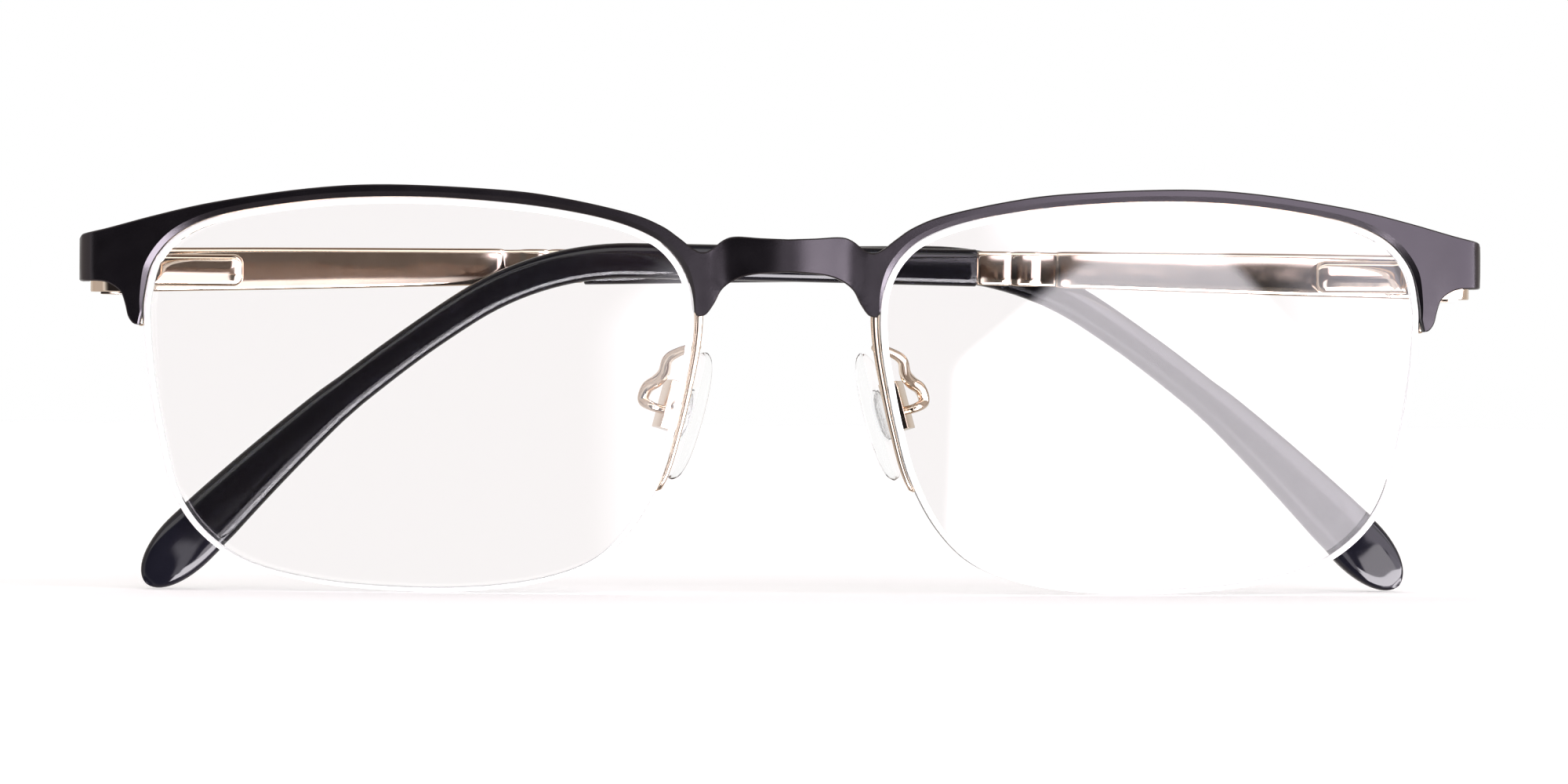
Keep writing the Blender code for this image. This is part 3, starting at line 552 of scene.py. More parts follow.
def silicone():
    made, shader = shader_of("clear_silicone", Base_Color=(0.98, 0.985, 0.99, 1.0), IOR=1.14,
                             Transmission_Weight=1.0)
    tree = made.node_tree
    tree.links.new(ranged(tree, noise(tree, 500.0), 0.02, 0.06), shader.inputs["Roughness"])
    bump(tree, shader, noise(tree, 300.0, 1.0), 0.00001)
    return made


def insert_plastic():
    made, shader = shader_of("insert_plastic", IOR=1.3, Transmission_Weight=0.95)
    tree = made.node_tree
    tinted(tree, shader, noise(tree, 900.0), (0.90, 0.90, 0.91), (0.95, 0.95, 0.95))
    tree.links.new(ranged(tree, noise(tree, 900.0), 0.15, 0.25), shader.inputs["Roughness"])
    return made


BLACK = satin_black()
GOLD = polished_gold()
STEEL = steel()
SLEEVE = glossy_black()
GLASS = lens_glass()
GROUND_PAINTED_GLOW = ground_edge_painted_glow()
NYLON_PAINTED_GLOW = nylon()
SILICONE = silicone()
INSERT = insert_plastic()


# The front

def plate_outline():
    """The right half of the plate's edge with the width of its chamfer at each point."""
    corner = [(WING_REACH - WING_CORNER * (1.0 - math.sin(t)), WING_CORNER * (1.0 - math.cos(t)))
              for t in (math.pi / 2 * k / 4 for k in range(5))]
    edge = spline(BROW_TOP, 6)
    edge += [Vector((x, WING_TOP)) for x in np.arange(WING_END, corner[0][0] - 0.1, BEND_GRID)]
    edge += [Vector((x, WING_TOP - drop)) for x, drop in corner]
    edge += [Vector((x, WING_BOTTOM + rise)) for x, rise in reversed(corner)]
    edge += [Vector((x, WING_BOTTOM))
             for x in np.arange(corner[0][0] - 0.2, WING_END, -BEND_GRID)]
    edge += spline(ENDPIECE_UNDERSIDE, 4)
    rim = offset(LENS_LOOP, RIM_GAP)[PRONG_POINT * RIM_STEPS:RIM_END - 1][::-1]
    under = spline(BRIDGE_UNDERSIDE, 5)
    widths = [EDGE_WIDTH] * len(edge)
    for i in range(len(rim)):
        share = min(1.0, i / CHAMFER_BLEND, (len(rim) - 1 - i) / CHAMFER_BLEND)
        widths.append(EDGE_WIDTH + (CHAMFER_WIDTH - EDGE_WIDTH) * share)
    widths += [EDGE_WIDTH] * len(under)
    return edge + rim + under, widths


def inside(points, outline):
    """Which points lie inside the outline, and how far each is from it."""
    a = np.array(outline)
    b = np.roll(a, -1, axis=0)
    p = np.array(points)[:, None, :]
    span = b - a
    share = np.clip(((p - a) * span).sum(2) / (span ** 2).sum(1), 0.0, 1.0)
    far = np.linalg.norm(p - a - share[..., None] * span, axis=2).min(1)
    crosses = (a[:, 1] > p[..., 1]) != (b[:, 1] > p[..., 1])
    rise = np.where(span[:, 1] == 0.0, 1.0, span[:, 1])
    at = a[:, 0] + (p[..., 1] - a[:, 1]) / rise * span[:, 0]
    return ((crosses & (p[..., 0] < at)).sum(1) % 2 == 1), far


def brow():
    """The black plate: chamfered round the lenses, with its bridge pressed forward."""
    half, widths = plate_outline()
    mirrored = [Vector((-p.x, p.y)) for p in half[1:-1]]
    outline = half + mirrored[::-1]
    widths = widths + widths[1:-1][::-1]
    clear = offset(outline, [-w for w in widths])
    count = len(outline)
    columns = [side * x for side in (-1, 1)
               for x in [*np.arange(0.5, BEND_START - 1, PLATE_GRID),
                         *np.arange(BEND_START - 1, WING_REACH, BEND_GRID)]]
    grid = [(x, z) for x in columns for z in np.arange(*PLATE_SPAN, PLATE_GRID)]
    within, far = inside(grid, [tuple(p) for p in clear])
    free = [Vector(p) for p, ok, d in zip(grid, within, far) if ok and d > BEND_GRID]
    loops = [(i, (i + 1) % count) for i in range(count)]
    edges = loops + [(a + count, b + count) for a, b in loops]
    made = delaunay_2d_cdt(outline + clear + free, edges, [list(range(count))], 1, 1e-6)
    flat, triangles, origins = made[0], made[2], made[3]
    on_edge = [bool(source) and min(source) < count for source in origins]
    mesh = bmesh.new()
    faces = []
    for back in (False, True):
        placed = []
        for point, edge, source in zip(flat, on_edge, origins):
            depth = PLATE_THICKNESS if back else 0.0
            if edge:
                width = widths[min(source)]
                drop = CHAMFER_DEPTH * width / CHAMFER_WIDTH if width > EDGE_WIDTH else EDGE_WIDTH
                depth += -EDGE_WIDTH if back else drop
            depth -= BRIDGE_RISE * max(0.0, 1.0 - (point.x / BRIDGE_REACH) ** 2) ** 2
            if not back:
                depth += NECK_DIP * math.exp(-((abs(point.x) - NECK_AT) / NECK_WIDTH) ** 2)
            place = form(max(-WING_REACH, min(WING_REACH, point.x)), depth, point.y)
            placed.append(mesh.verts.new(place * MM))
        faces.append(placed)
        for triangle in triangles:
            corners = [placed[i] for i in triangle]
            mesh.faces.new(corners[::-1] if back else corners)
    directed = [(t[k], t[(k + 1) % 3]) for t in triangles for k in range(3)]
    known = set(directed)
    for a, b in directed:
        if (b, a) not in known:
            mesh.faces.new((faces[0][b], faces[0][a], faces[1][a], faces[1][b]))
    bmesh.ops.recalc_face_normals(mesh, faces=mesh.faces[:])
    data = bpy.data.meshes.new("brow")
    mesh.to_mesh(data)
    mesh.free()
    add("brow", data, BLACK, "front", ["brow_plate"], sharp=22.0)


def formed(side, outline, depth):
    return [form(side * p.x, depth, p.y) for p in outline]


def lens(word, side):
    """The lens, with the groove round its edge that its cord and liner lie in."""
    centre = Vector(LENS_CENTRE)
    cut_edge = offset(LENS_LOOP, -GROOVE_CUT)
    groove_front = GROOVE_DEPTH - GROOVE_HALF_WIDTH
    groove_back = GROOVE_DEPTH + GROOVE_HALF_WIDTH
    scales = [0.02, 0.1, 0.2, 0.3, 0.4, 0.5, 0.6, 0.7, 0.8, 0.88, 0.94, 0.975]
    rings = [([centre + (p - centre) * s for p in LENS_LOOP], LENS_FRONT) for s in scales]
    inner = offset(LENS_LOOP, -LENS_BEVEL[0])
    rings += [(inner, LENS_FRONT), (LENS_LOOP, LENS_FRONT + LENS_BEVEL[1]),
              (LENS_LOOP, groove_front), (cut_edge, groove_front), (cut_edge, groove_back),
              (LENS_LOOP, groove_back), (LENS_LOOP, LENS_BACK - LENS_BEVEL[1]),
              (inner, LENS_BACK)]
    rings += [([centre + (p - centre) * s for p in LENS_LOOP], LENS_BACK) for s in scales[::-1]]
    mesh = skin("glass_" + word, [formed(side, ring, depth) for ring, depth in rings])
    add("glass_" + word, mesh, GLASS, "front", ["lens_" + word], sharp=30.0)


def edge_band(word, side):
    """The ground white bevel round the lens's front edge, with a painted glow in its finish."""
    count = len(LENS_LOOP)
    widths = []
    for i in range(count):
        past = min(i - RIM_END, count - i) if i > RIM_END else 0
        share = min(1.0, past / BAND_BLEND)
        widths.append(BAND_WIDTH + share * (BAND_NARROW - BAND_WIDTH))
    rings = [formed(side, offset(LENS_LOOP, [out * width for width in widths]), depth)
             for out, depth in BAND_SECTION]
    mesh = skin("lens_bevel_" + word, rings, closed=True)
    add("lens_bevel_" + word, mesh, GROUND_PAINTED_GLOW, "front", (), sharp=30.0)


def groove_strand(name, side, start, end, node):
    line = offset(LENS_LOOP, -CORD_INSET)
    points = [form(side * p.x, GROOVE_DEPTH, p.y)
              for p in (line[i % len(line)] for i in range(start, end + 1))]
    add(name, tube(name, points, CORD_RADIUS, 12), NYLON_PAINTED_GLOW, "front", [node])


def eyewire(word, side):
    """The gold wire down the nose side of the lens, hooked back at its low end."""
    points, radii = [], []
    full = offset(LENS_LOOP, FIT_GAP + EYEWIRE_RADIUS)
    thin = offset(LENS_LOOP, FIT_GAP + EYEWIRE_END_RADIUS)
    for i in range(RIM_END + 1):
        taper = min(1.0, i / (PRONG_POINT * RIM_STEPS))
        place = thin[i].lerp(full[i], taper)
        points.append(form(side * place.x, GROOVE_DEPTH, place.y))
        radii.append(EYEWIRE_END_RADIUS + (EYEWIRE_RADIUS - EYEWIRE_END_RADIUS) * taper)
    low = thin[0]
    curl = [form(side * (low.x + x), depth, low.y + z) for x, z, depth in EYEWIRE_HOOK]
    radii = [EYEWIRE_END_RADIUS * 0.95] * len(curl) + radii
    mesh = tube("eyewire_gold_" + word, curl + points, radii, 24)
    add("eyewire_gold_" + word, mesh, GOLD, "front", ["eyewire_" + word], 60.0)


def hinge_pieces(word, side):
    refined("endpiece_gold_" + word, "endpiece_" + word, GOLD, 0.12)
    refined("knuckles_" + word, "front_hinge_" + word, GOLD, 0.1)
    refined("slider_gold_" + word, "hinge_slider_" + word, GOLD, 0.08)
    head = HINGE_HIGH + SEAT_GAP
    top = head + SCREW_HEAD_HEIGHT
    foot = HINGE_LOW + 0.1
    dome = [(0.3, 0.01), (0.12, 0.06), (0.0, 0.18)]
    profile = [(0.0, top)] + [(SCREW_HEAD_RADIUS - less, top - drop) for less, drop in dome]
    profile += [(SCREW_HEAD_RADIUS, head + 0.04), (SCREW_HEAD_RADIUS - 0.04, head),
                (SCREW_RADIUS, head), (SCREW_RADIUS, foot), (0.0, foot)]
    place = Matrix.Translation((side * HINGE_X, HINGE_Y - DEPTH_CENTRE, 0.0))
    place @= Matrix.Rotation(SLOT_TURN, 4, "Z")
    slot = box_mesh("slot", (-2.0, -0.13, top - 0.22), (2.0, 0.13, top + 1.0), place)
    mesh = carve(turned("screw", profile, place), slot)
    name = "hinge_screw_steel_" + word
    add(name, mesh, STEEL, "front", ["hinge_screw_" + word])


# Temples, in the frame of their hinge axis: u behind it, w out from it, and z up

def temple_place(side):
    turn = Matrix.Rotation(math.radians(FOLD_TOE), 4, "Z")
    return Matrix.Translation((side * HINGE_X, HINGE_Y - DEPTH_CENTRE, 0.0)) @ turn


def temple_line(s):
    """Point and direction of the temple's middle line, at a length from the hinge axis."""
    place = Vector((0.0, HINGE_Z))
    angle = -TEMPLE_RISE
    for length, degrees in TEMPLE_ARCS:
        run = min(s, length)
        turn = math.radians(degrees) * run / length
        middle = angle + turn / 2
        chord = run * (math.sin(turn / 2) / (turn / 2) if turn else 1.0)
        place += chord * Vector((math.cos(middle), -math.sin(middle)))
        angle += turn
        s -= run
    return place, Vector((math.cos(angle), -math.sin(angle)))


def temple_ring(side, s, section, shift=0.0, inner=0.0):
    """A section set square to the temple's line, moved up and out by the last two."""
    place, along = temple_line(s)
    up = Vector((-along.y, along.x))
    ring = []
    for w, h in section:
        point = place + up * (h + shift)
        ring.append(temple_place(side) @ Vector((-side * point.x, SLEEVE_CENTRE + w + inner,
                                                 point.y)))
    return ring


# Length, half height and half thickness along the bar, with its two grooves before the sleeve
BAR_STATIONS = [
    (0.62, 2.0, 0.4), (0.68, 2.12, 0.52), (0.82, 2.18, 0.58), (1.05, 2.2, 0.6), (8.0, 2.155, 0.6),
    (14.0, 2.12, 0.6), (20.0, 2.05, 0.6), (26.0, 1.98, 0.6), (32.0, 1.9, 0.6), (35.0, 1.86, 0.595),
    (36.6, 1.84, 0.58), (37.5, 1.825, 0.55), (38.1, 1.8, 0.5), (38.4, 1.77, 0.43),
    (38.55, 1.71, 0.33), (38.9, 1.69, 0.3), (40.1, 1.69, 0.3), (40.35, 1.71, 0.34),
    (40.6, 1.73, 0.42), (41.2, 1.74, 0.47), (42.2, 1.73, 0.47), (42.7, 1.7, 0.4),
    (42.95, 1.65, 0.32), (43.15, 1.65, 0.31), (43.35, 1.69, 0.38), (43.8, 1.71, 0.44),
    (45.0, 1.7, 0.45), (46.0, 1.68, 0.42), (46.35, 1.63, 0.36), (46.45, 1.57, 0.3),
]


def temple_bar(word, side):
    """The bar, crowned on its faces, with the core that the sleeve is pushed on to."""
    stations = spline([Vector(row) for row in BAR_STATIONS], 3)
    rings = [temple_ring(side, s, squircle(thick, height, BAR_POWER))
             for s, height, thick in stations]
    for k in range(CORE_STEPS + 1):
        s = SLEEVE_START + 0.02 + (CORE_END - SLEEVE_START) * k / CORE_STEPS
        rings.append(temple_ring(side, s, squircle(CORE_RADIUS, CORE_RADIUS, 2.0)))
    name = "bar_gold_" + word
    add(name, skin(name, rings), GOLD, "temple_" + word, ["temple_bar_" + word],
        sharp=45.0)


def sleeve_size(s):
    """Half height and half thickness of the sleeve, rounded off at the tip."""
    height = between(s, SLEEVE_HALF_HEIGHTS)
    thickness = between(s, SLEEVE_DEPTHS)
    left = min(1.0, max(0.0, (TEMPLE_LENGTH - s) / TIP_ROUND))
    rounding = math.sqrt(1.0 - (1.0 - left) ** 2)
    return height * rounding, thickness * max(0.3, rounding)


def sleeve(word, side):
    """The black sleeve: its bore first, then its mouth, and then its outside to the tip."""
    rings = []
    bore = squircle(CORE_RADIUS + CORE_GAP, CORE_RADIUS + CORE_GAP, 2.0)
    bore_end = CORE_END + CORE_END_GAP
    for k in range(CORE_STEPS + 1):
        s = bore_end - (bore_end - SLEEVE_START) * k / CORE_STEPS
        rings.append(temple_ring(side, s, bore))
    for past, less in SLEEVE_MOUTH:
        height, thickness = sleeve_size(SLEEVE_START + past)
        section = squircle(thickness - less, height - less, SLEEVE_POWER)
        rings.append(temple_ring(side, SLEEVE_START + past, section))
    stations = np.arange(SLEEVE_START + 0.8, TEMPLE_LENGTH - TIP_ROUND, TEMPLE_STEP).tolist()
    stations += [TEMPLE_LENGTH - TIP_ROUND * (1.0 - math.sin(math.pi / 2 * k / 16))
                 for k in range(16)]
    stations.append(TEMPLE_LENGTH - 0.01)
    for s in stations:
        height, thickness = sleeve_size(s)
        sag = SLEEVE_SAG * max(0.0, between(s, SLEEVE_HALF_HEIGHTS) - SAG_ABOVE)
        section = squircle(thickness, max(height, 0.05), SLEEVE_POWER)
        rings.append(temple_ring(side, s, section, -sag))
    name = "sleeve_black_" + word
    add(name, skin(name, rings), SLEEVE, "temple_" + word, ["temple_tip_" + word],
        sharp=60.0)


def housing(word, side):
    """The box for the spring, crowned on its face and round at its far corners, and bored."""
    corner = HOUSING_CORNER
    half = HOUSING_HALF_HEIGHT
    outline = []
    for centre_u, centre_z, start in ((HOUSING_END - corner, half - corner, 90),
                                      (HOUSING_END - corner, corner - half, 0)):
        for k in range(9):
            turn = math.radians(start - 90.0 * k / 8)
            outline.append(Vector((centre_u + corner * math.cos(turn),
                                   centre_z + corner * math.sin(turn))))
    near = HOUSING_START
    outline += [Vector((u, -half)) for u in np.arange(HOUSING_END - corner - 1.0, near, -1.0)]
    outline += [Vector((near, z)) for z in np.linspace(-half, half, 7)]
    outline += [Vector((u, half)) for u in np.arange(near + 1.0, HOUSING_END - corner - 0.5, 1.0)]
    levels = [(HOUSING_OUTER, 0.0), (HOUSING_OUTER - 0.2, 0.0)]
    levels += [(HOUSING_INNER + above, inset) for above, inset in HOUSING_CROWN]
    middle = Vector(((near + HOUSING_END) / 2, 0.0))
    length = (HOUSING_END - near) / 2
    rings = []
    for w, inset in levels:
        squeeze = Vector((1.0 - inset / length, 1.0 - inset / half))
        ring = [middle + Vector(((p.x - middle.x) * squeeze.x, p.y * squeeze.y)) for p in outline]
        rings.append([temple_place(side) @ Vector((-side * p.x, w, HINGE_Z + p.y)) for p in ring])
    drilled = [(COLLAR_END, BORE_END, BORE_WIDE), (near - 1.0, COLLAR_END + 0.5, BORE_NARROW)]
    bores = []
    for start, end, radius in drilled:
        ends = [[temple_place(side) @ Vector((-side * u, SLIDE_AXIS_W + a, HINGE_Z + b))
                 for a, b in circle(radius, 32)] for u in (start, end)]
        bores.append(skin("bore", ends))
    name = "housing_gold_" + word
    mesh = carve(skin(name, rings), *bores)
    add(name, mesh, GOLD, "temple_" + word, ["spring_housing_" + word])


def spring_pieces(word, side):
    """The coil round the rod, and the nut it pushes on, both on the bodies the CAD gives them."""
    place = temple_place(side)
    start = COLLAR_END + SPRING_WIRE + SPRING_GAP
    end = NUT_START - SPRING_WIRE - SPRING_GAP
    steps = SPRING_TURNS * TURN_POINTS
    points = []
    for k in range(steps + 1):
        turn = math.tau * k / TURN_POINTS
        points.append(place @ Vector((-side * (start + (end - start) * k / steps),
                                      SLIDE_AXIS_W + SPRING_RADIUS * math.cos(turn),
                                      HINGE_Z + SPRING_RADIUS * math.sin(turn))))
    body = frame["nodes"]["hinge_spring_" + word]["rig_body"]
    add("spring_steel_" + word, tube("spring", points, SPRING_WIRE, 8), STEEL, body,
        ["hinge_spring_" + word])
    profile = [(ROD_RADIUS + NUT_EDGE, NUT_END), (NUT_RADIUS - NUT_EDGE, NUT_END),
               (NUT_RADIUS, NUT_END - NUT_EDGE), (NUT_RADIUS, NUT_START + NUT_EDGE),
               (NUT_RADIUS - NUT_EDGE, NUT_START), (ROD_RADIUS + NUT_EDGE, NUT_START)]
    rings = [[place @ Vector((-side * u, SLIDE_AXIS_W + a, HINGE_Z + b))
              for a, b in circle(radius, 32)] for radius, u in profile]
    body = frame["nodes"]["slider_nut_" + word]["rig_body"]
    add("nut_steel_" + word, skin("nut", rings, closed=True), STEEL, body,
        ["slider_nut_" + word])


# Nose pads, in a frame on the axis of their screw

def pad_turn(side):
    back = Vector((side * math.sin(PAD_SPLAY), math.cos(PAD_SPLAY), 0.0))
    up = Vector((-side * math.sin(PAD_SLOPE), 0.0, math.cos(PAD_SLOPE)))
    up = (up - back * up.dot(back)).normalized()
    return Matrix((back.cross(up), back, up)).transposed()


def pad_place(side):
    x, y, z = PAD_CENTRE
    turn = pad_turn(side)
    reach = turn @ Vector((side * SCREW_REACH, 0.0, BOX_LIFT))
    return Matrix.Translation(Vector((side * x, y - DEPTH_CENTRE, z)) + reach) @ turn.to_4x4()


def pad_outline(scale, squareness=0.06, front_share=0.78, count=64):
    """The pad's D shape: y back and z up, with a flatter front edge."""
    made = []
    for k in range(count):
        turn = math.tau * k / count
        y = PAD_HALF_WIDTH * math.cos(turn) * (front_share if math.cos(turn) < 0 else 1.0)
        z = PAD_HALF_LENGTH * math.sin(turn)
        fuller = scale * (1.0 + squareness * math.sin(2 * turn) ** 2)
        made.append((y * fuller, z * fuller))
    return made


def nose_pad(word, side):
    """The clear pad, domed on the nose side, with the recess that its insert fills."""
    half = PAD_THICKNESS / 2
    rings = [[pad_place(side) @ Vector((side * (level * half - SCREW_REACH), y, z - BOX_LIFT))
              for y, z in pad_outline(scale)] for level, scale in PAD_LEVELS]
    name = "pad_silicone_" + word
    add(name, skin(name, rings), SILICONE, "pad_" + word, ["nose_pad_" + word],
        sharp=50.0)


def pad_fixings(word, side):
    refined("insert_" + word, "pad_core_" + word, INSERT, 0.06)
    refined("pad_box_gold_" + word, "pad_box_" + word, GOLD, 0.12)
    seat = BOX_WIDTH / 2 + SEAT_GAP
    top = seat + PAD_SCREW_HEIGHT
    profile = [(0.0, top), (0.3, top - 0.02), (PAD_SCREW_HEAD - 0.12, top - 0.08),
               (PAD_SCREW_HEAD, top - 0.2), (PAD_SCREW_HEAD, seat), (PAD_SCREW_RADIUS, seat),
               (PAD_SCREW_RADIUS, -seat), (0.0, -seat)]
    place = pad_place(side) @ Matrix.Rotation(math.pi / 2, 4, "X")
    slot = box_mesh("slot", (-1.0, -0.09, top - 0.16), (1.0, 0.09, top + 1.0), place)
    mesh = carve(turned("screw", profile, place, 40), slot)
    add("pad_screw_steel_" + word, mesh, STEEL, "pad_" + word, ["pad_screw_" + word])


def pad_arm(word, side):
    """The bent wire from the back of the eyewire round to the back of the box."""
    place = pad_place(side)
    root = offset(LENS_LOOP, FIT_GAP + EYEWIRE_RADIUS)[ARM_ROOT_POINT * RIM_STEPS]
    route = [form(side * root.x, GROOVE_DEPTH + EYEWIRE_RADIUS + ARM_RADIUS + FIT_GAP, root.y)]
    route += [form(side * across, depth, up) for across, depth, up in ARM_ROUTE]
    for beyond in (ARM_STRAIGHT, ARM_SUNK):
        route.append(place @ Vector((side * (BOX_BACK - SCREW_REACH + beyond), 0.0, ARM_LEVEL)))
    name = "pad_arm_gold_" + word
    points = spline([tuple(p) for p in route], 10)
    last = len(points) - 1
    radii = [ARM_RADIUS + ARM_SWELL * math.sin(math.pi * i / last) ** 2 * i / last
             for i in range(last + 1)]
    add(name, tube(name, points, radii, 20), GOLD, "front", ["pad_arm_" + word],
        60.0)


# The studio, with its lengths in metres

FLOOR_REACH = 3.0
FLOOR_DROP = 0.0001


def stage_floor():
    """A pale floor that takes shadows but shows neither in reflections nor through the lenses."""
    mesh = bpy.data.meshes.new("floor")
    reach = FLOOR_REACH
    mesh.from_pydata([(-reach, -reach, 0.0), (reach, -reach, 0.0), (reach, reach, 0.0),
                      (-reach, reach, 0.0)], [], [(0, 1, 2, 3)])
    floor = bpy.data.objects.new("floor", mesh)
    bpy.context.scene.collection.objects.link(floor)
    floor.location.z = CAD_BOX[0].z - FLOOR_DROP
    made, shader = shader_of("floor", Base_Color=(0.93, 0.92, 0.92, 1.0), Roughness=0.7,
                             Specular_IOR_Level=0.0, Emission_Color=(1.0, 1.0, 1.0, 1.0),
                             Emission_Strength=0.22)
    mesh.materials.append(made)
    floor.visible_glossy = False
    floor.visible_shadow = False
    floor.visible_transmission = False


def math_node(tree, operation, *values):
    node = tree.nodes.new("ShaderNodeMath")
    node.operation = operation
    for socket, value in zip(node.inputs, values):
        if isinstance(value, (int, float)):
            socket.default_value = value
        else:
            tree.links.new(value, socket)
    return node.outputs[0]


def step(tree, value, low, high):
    """A smooth step from 0 at the low value to 1 at the high one."""
    node = tree.nodes.new("ShaderNodeMapRange")
    node.interpolation_type = "SMOOTHSTEP"
    node.inputs["From Min"].default_value = low
    node.inputs["From Max"].default_value = high
    tree.links.new(value, node.inputs["Value"])
    return node.outputs["Result"]


def lit(tree, under, mask, colour):
    node = tree.nodes.new("ShaderNodeMix")
    node.data_type = "RGBA"
    tree.links.new(mask, node.inputs["Factor"])
    if isinstance(under, tuple):
        node.inputs[6].default_value = (*under, 1.0)
    else:
        tree.links.new(under, node.inputs[6])
    node.inputs[7].default_value = (*colour, 1.0)
    return node.outputs[2]


# Each light panel: its colour times its strength, how soft its edges are, and the straight edges
# that bound it, as a, b and c of a * u + b * v + c > 0. U is to the right and v up, both as
# tangents seen from the glasses looking forward. A later panel lies over an earlier one.
PANELS = [
    ((0.05, 0.026, 0.017), 0.05, [(1.0, 0.0, 0.15), (-1.0, 0.0, 0.12)]),
    ((3.0, 2.8, 3.1), 0.08, [(1.0, 0.0, -0.62)]),
    ((1.7, 1.65, 1.62), 0.06, [(0.0, 1.0, -0.35), (0.0, -1.0, 0.95)]),
    ((4.2, 3.8, 4.3), 0.05, [(0.0, 1.0, -0.07), (0.0, -1.0, 0.5), (1.0, 0.0, -0.12)]),
    ((2.6, 2.4, 2.7), 0.03, [(0.0, 1.0, 0.035), (0.0, -1.0, 0.5), (1.0, 0.0, -0.25)]),
    ((4.7, 4.45, 4.7), 0.012, [(0.416, -1.0, -0.188), (0.801, -1.0, -0.316),
                               (-0.874, -1.0, 0.394), (0.0, 1.0, 0.4), (1.0, 0.0, -0.21)]),
    ((14.0, 13.4, 14.2), 0.03, [(0.0, 1.0, 1.25), (0.0, -1.0, -0.42), (1.0, 0.0, 0.02)]),
    ((1.8, 1.72, 1.85), 0.035, [(1.0, -1.33, -0.011), (1.0, 0.0, 0.12), (-1.0, 0.0, 0.05),
                                (0.0, -1.0, -0.045), (0.0, 1.0, 0.6)]),
    ((0.16, 0.11, 0.08), 0.5, [(0.0, 1.0, -2.0)]),
    ((0.16, 0.11, 0.08), 0.5, [(0.0, -1.0, -2.0)]),
    ((0.55, 0.5, 0.47), 0.3, [(-1.0, 0.0, -1.8)]),
]

# The dark round the middle of the front side, which fades into the light of the table side
CAMERA_SIDE = (0.02, 0.018, 0.019)
DARK_CENTRE = 0.3
DARK_REACH = (0.6, 1.6)
DARK_STRETCH = 0.5
TABLE_SIDE = (1.0, 0.99, 0.98)
FLATTEST = 0.02
BEHIND_FADE = (-0.05, 0.0)

# What mirror-like surfaces see behind the glasses, darker to the sides than straight behind
BACK_REFLECTED = (0.75, 0.72, 0.69)
RING = (0.55, 0.49, 0.45)
RING_FADE = (0.5, 0.8)

# What shows straight through a lens, and behind everything. A ray that has only gone in and out
# of one lens counts as 3 deep at the background.
BEHIND_LENS = (1.05, 1.015, 1.01)
STRAIGHT_DEPTH = 3.5
BACKDROP = (1.0, 1.0, 1.0)


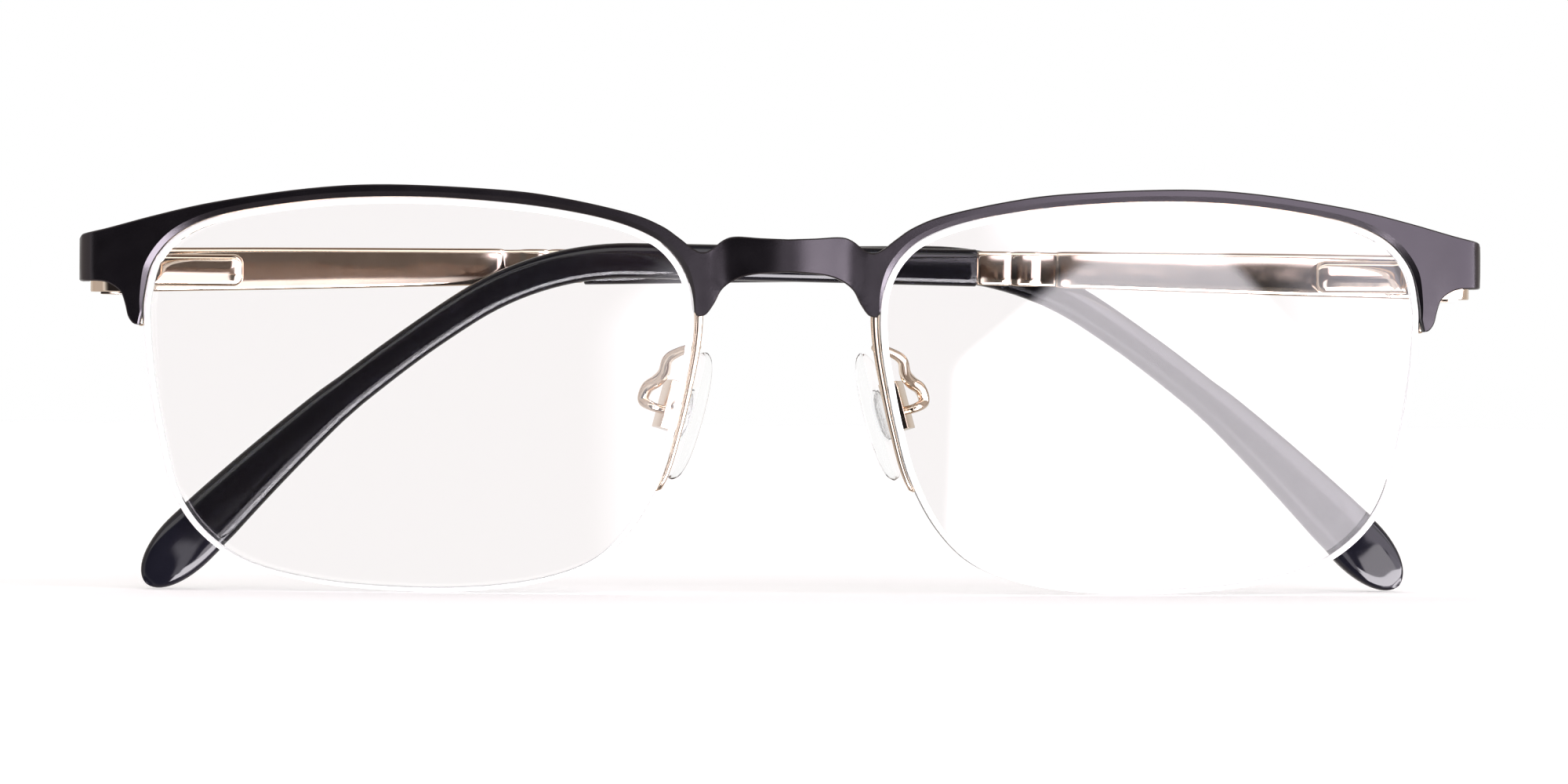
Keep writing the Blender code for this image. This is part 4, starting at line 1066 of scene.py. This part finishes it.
def studio():
    """The world: light panels that only reflections and soft light see, on a white backdrop."""
    world = bpy.data.worlds.new("studio")
    bpy.context.scene.world = world
    world.use_nodes = True
    tree = world.node_tree
    tree.nodes.clear()
    coordinates = tree.nodes.new("ShaderNodeTexCoord")
    parts = tree.nodes.new("ShaderNodeSeparateXYZ")
    tree.links.new(coordinates.outputs["Generated"], parts.inputs[0])
    x, y, z = (parts.outputs[k] for k in range(3))
    ahead = math_node(tree, "MAXIMUM", math_node(tree, "MULTIPLY", y, -1.0), FLATTEST)
    u = math_node(tree, "DIVIDE", x, ahead)
    v = math_node(tree, "DIVIDE", z, ahead)
    left = math_node(tree, "ADD", u, DARK_CENTRE)
    high = math_node(tree, "MULTIPLY", v, DARK_STRETCH)
    reach = math_node(tree, "POWER", math_node(tree, "ADD", math_node(tree, "MULTIPLY", left, left),
                                               math_node(tree, "MULTIPLY", high, high)), 0.5)
    colour = lit(tree, CAMERA_SIDE, step(tree, reach, *DARK_REACH), TABLE_SIDE)
    for tint, soft, edges in PANELS:
        mask = None
        for a, b, c in edges:
            line = math_node(tree, "ADD", math_node(tree, "MULTIPLY", u, a),
                             math_node(tree, "MULTIPLY", v, b))
            side = step(tree, math_node(tree, "ADD", line, c), -soft, soft)
            mask = side if mask is None else math_node(tree, "MULTIPLY", mask, side)
        colour = lit(tree, colour, mask, tint)
    behind = step(tree, y, *BEHIND_FADE)
    colour = lit(tree, colour, behind, TABLE_SIDE)
    path = tree.nodes.new("ShaderNodeLightPath")
    mirrored = math_node(tree, "SUBTRACT", path.outputs["Is Glossy Ray"],
                         path.outputs["Is Transmission Ray"])
    glossy = math_node(tree, "MULTIPLY", behind, math_node(tree, "MAXIMUM", mirrored, 0.0))
    colour = lit(tree, colour, glossy, BACK_REFLECTED)
    ring = math_node(tree, "SUBTRACT", 1.0, step(tree, y, *RING_FADE))
    colour = lit(tree, colour, math_node(tree, "MULTIPLY", glossy, ring), RING)
    straight = math_node(tree, "MULTIPLY", path.outputs["Is Transmission Ray"],
                         math_node(tree, "LESS_THAN", path.outputs["Ray Depth"],
                                   STRAIGHT_DEPTH))
    colour = lit(tree, colour, straight, BEHIND_LENS)
    colour = lit(tree, colour, path.outputs["Is Camera Ray"], BACKDROP)
    background = tree.nodes.new("ShaderNodeBackground")
    output = tree.nodes.new("ShaderNodeOutputWorld")
    tree.links.new(colour, background.inputs["Color"])
    tree.links.new(background.outputs[0], output.inputs["Surface"])


CAMERA_YAW = math.radians(-2.4)
CAMERA_ROLL = math.radians(0.31)
CAMERA_DISTANCE = 0.6
FRAME_WIDTH = 0.1521
SENSOR_WIDTH = 36.0
AIM_ACROSS = -0.00032
AIM_UP = -0.00015


def camera():
    data = bpy.data.cameras.new("camera")
    data.lens = SENSOR_WIDTH * CAMERA_DISTANCE / FRAME_WIDTH
    data.clip_start = 0.01
    data.clip_end = 20.0
    eye = bpy.data.objects.new("camera", data)
    bpy.context.scene.collection.objects.link(eye)
    low, high = CAD_BOX
    aim = Vector((AIM_ACROSS, low.y, (low.z + high.z) / 2 + AIM_UP))
    back = Vector((math.sin(CAMERA_YAW), -math.cos(CAMERA_YAW), 0.0))
    eye.location = aim + CAMERA_DISTANCE * back
    turn = (-back).to_track_quat("-Z", "Y").to_matrix()
    eye.rotation_euler = (turn @ Matrix.Rotation(CAMERA_ROLL, 3, "Z")).to_euler()
    bpy.context.scene.camera = eye


brow()
for side_name, side_sign in SIDES.items():
    lens(side_name, side_sign)
    edge_band(side_name, side_sign)
    groove_strand("liner_" + side_name, side_sign, RIM_STEPS // 2, RIM_END - RIM_STEPS // 2,
                  "rim_liner_" + side_name)
    groove_strand("cord_" + side_name, side_sign, RIM_END, len(LENS_LOOP),
                  "lens_cord_" + side_name)
    eyewire(side_name, side_sign)
    hinge_pieces(side_name, side_sign)
    temple_bar(side_name, side_sign)
    sleeve(side_name, side_sign)
    housing(side_name, side_sign)
    spring_pieces(side_name, side_sign)
    nose_pad(side_name, side_sign)
    pad_fixings(side_name, side_sign)
    pad_arm(side_name, side_sign)
stage_floor()
studio()
camera()
bpy.context.scene.view_settings.view_transform = "Standard"
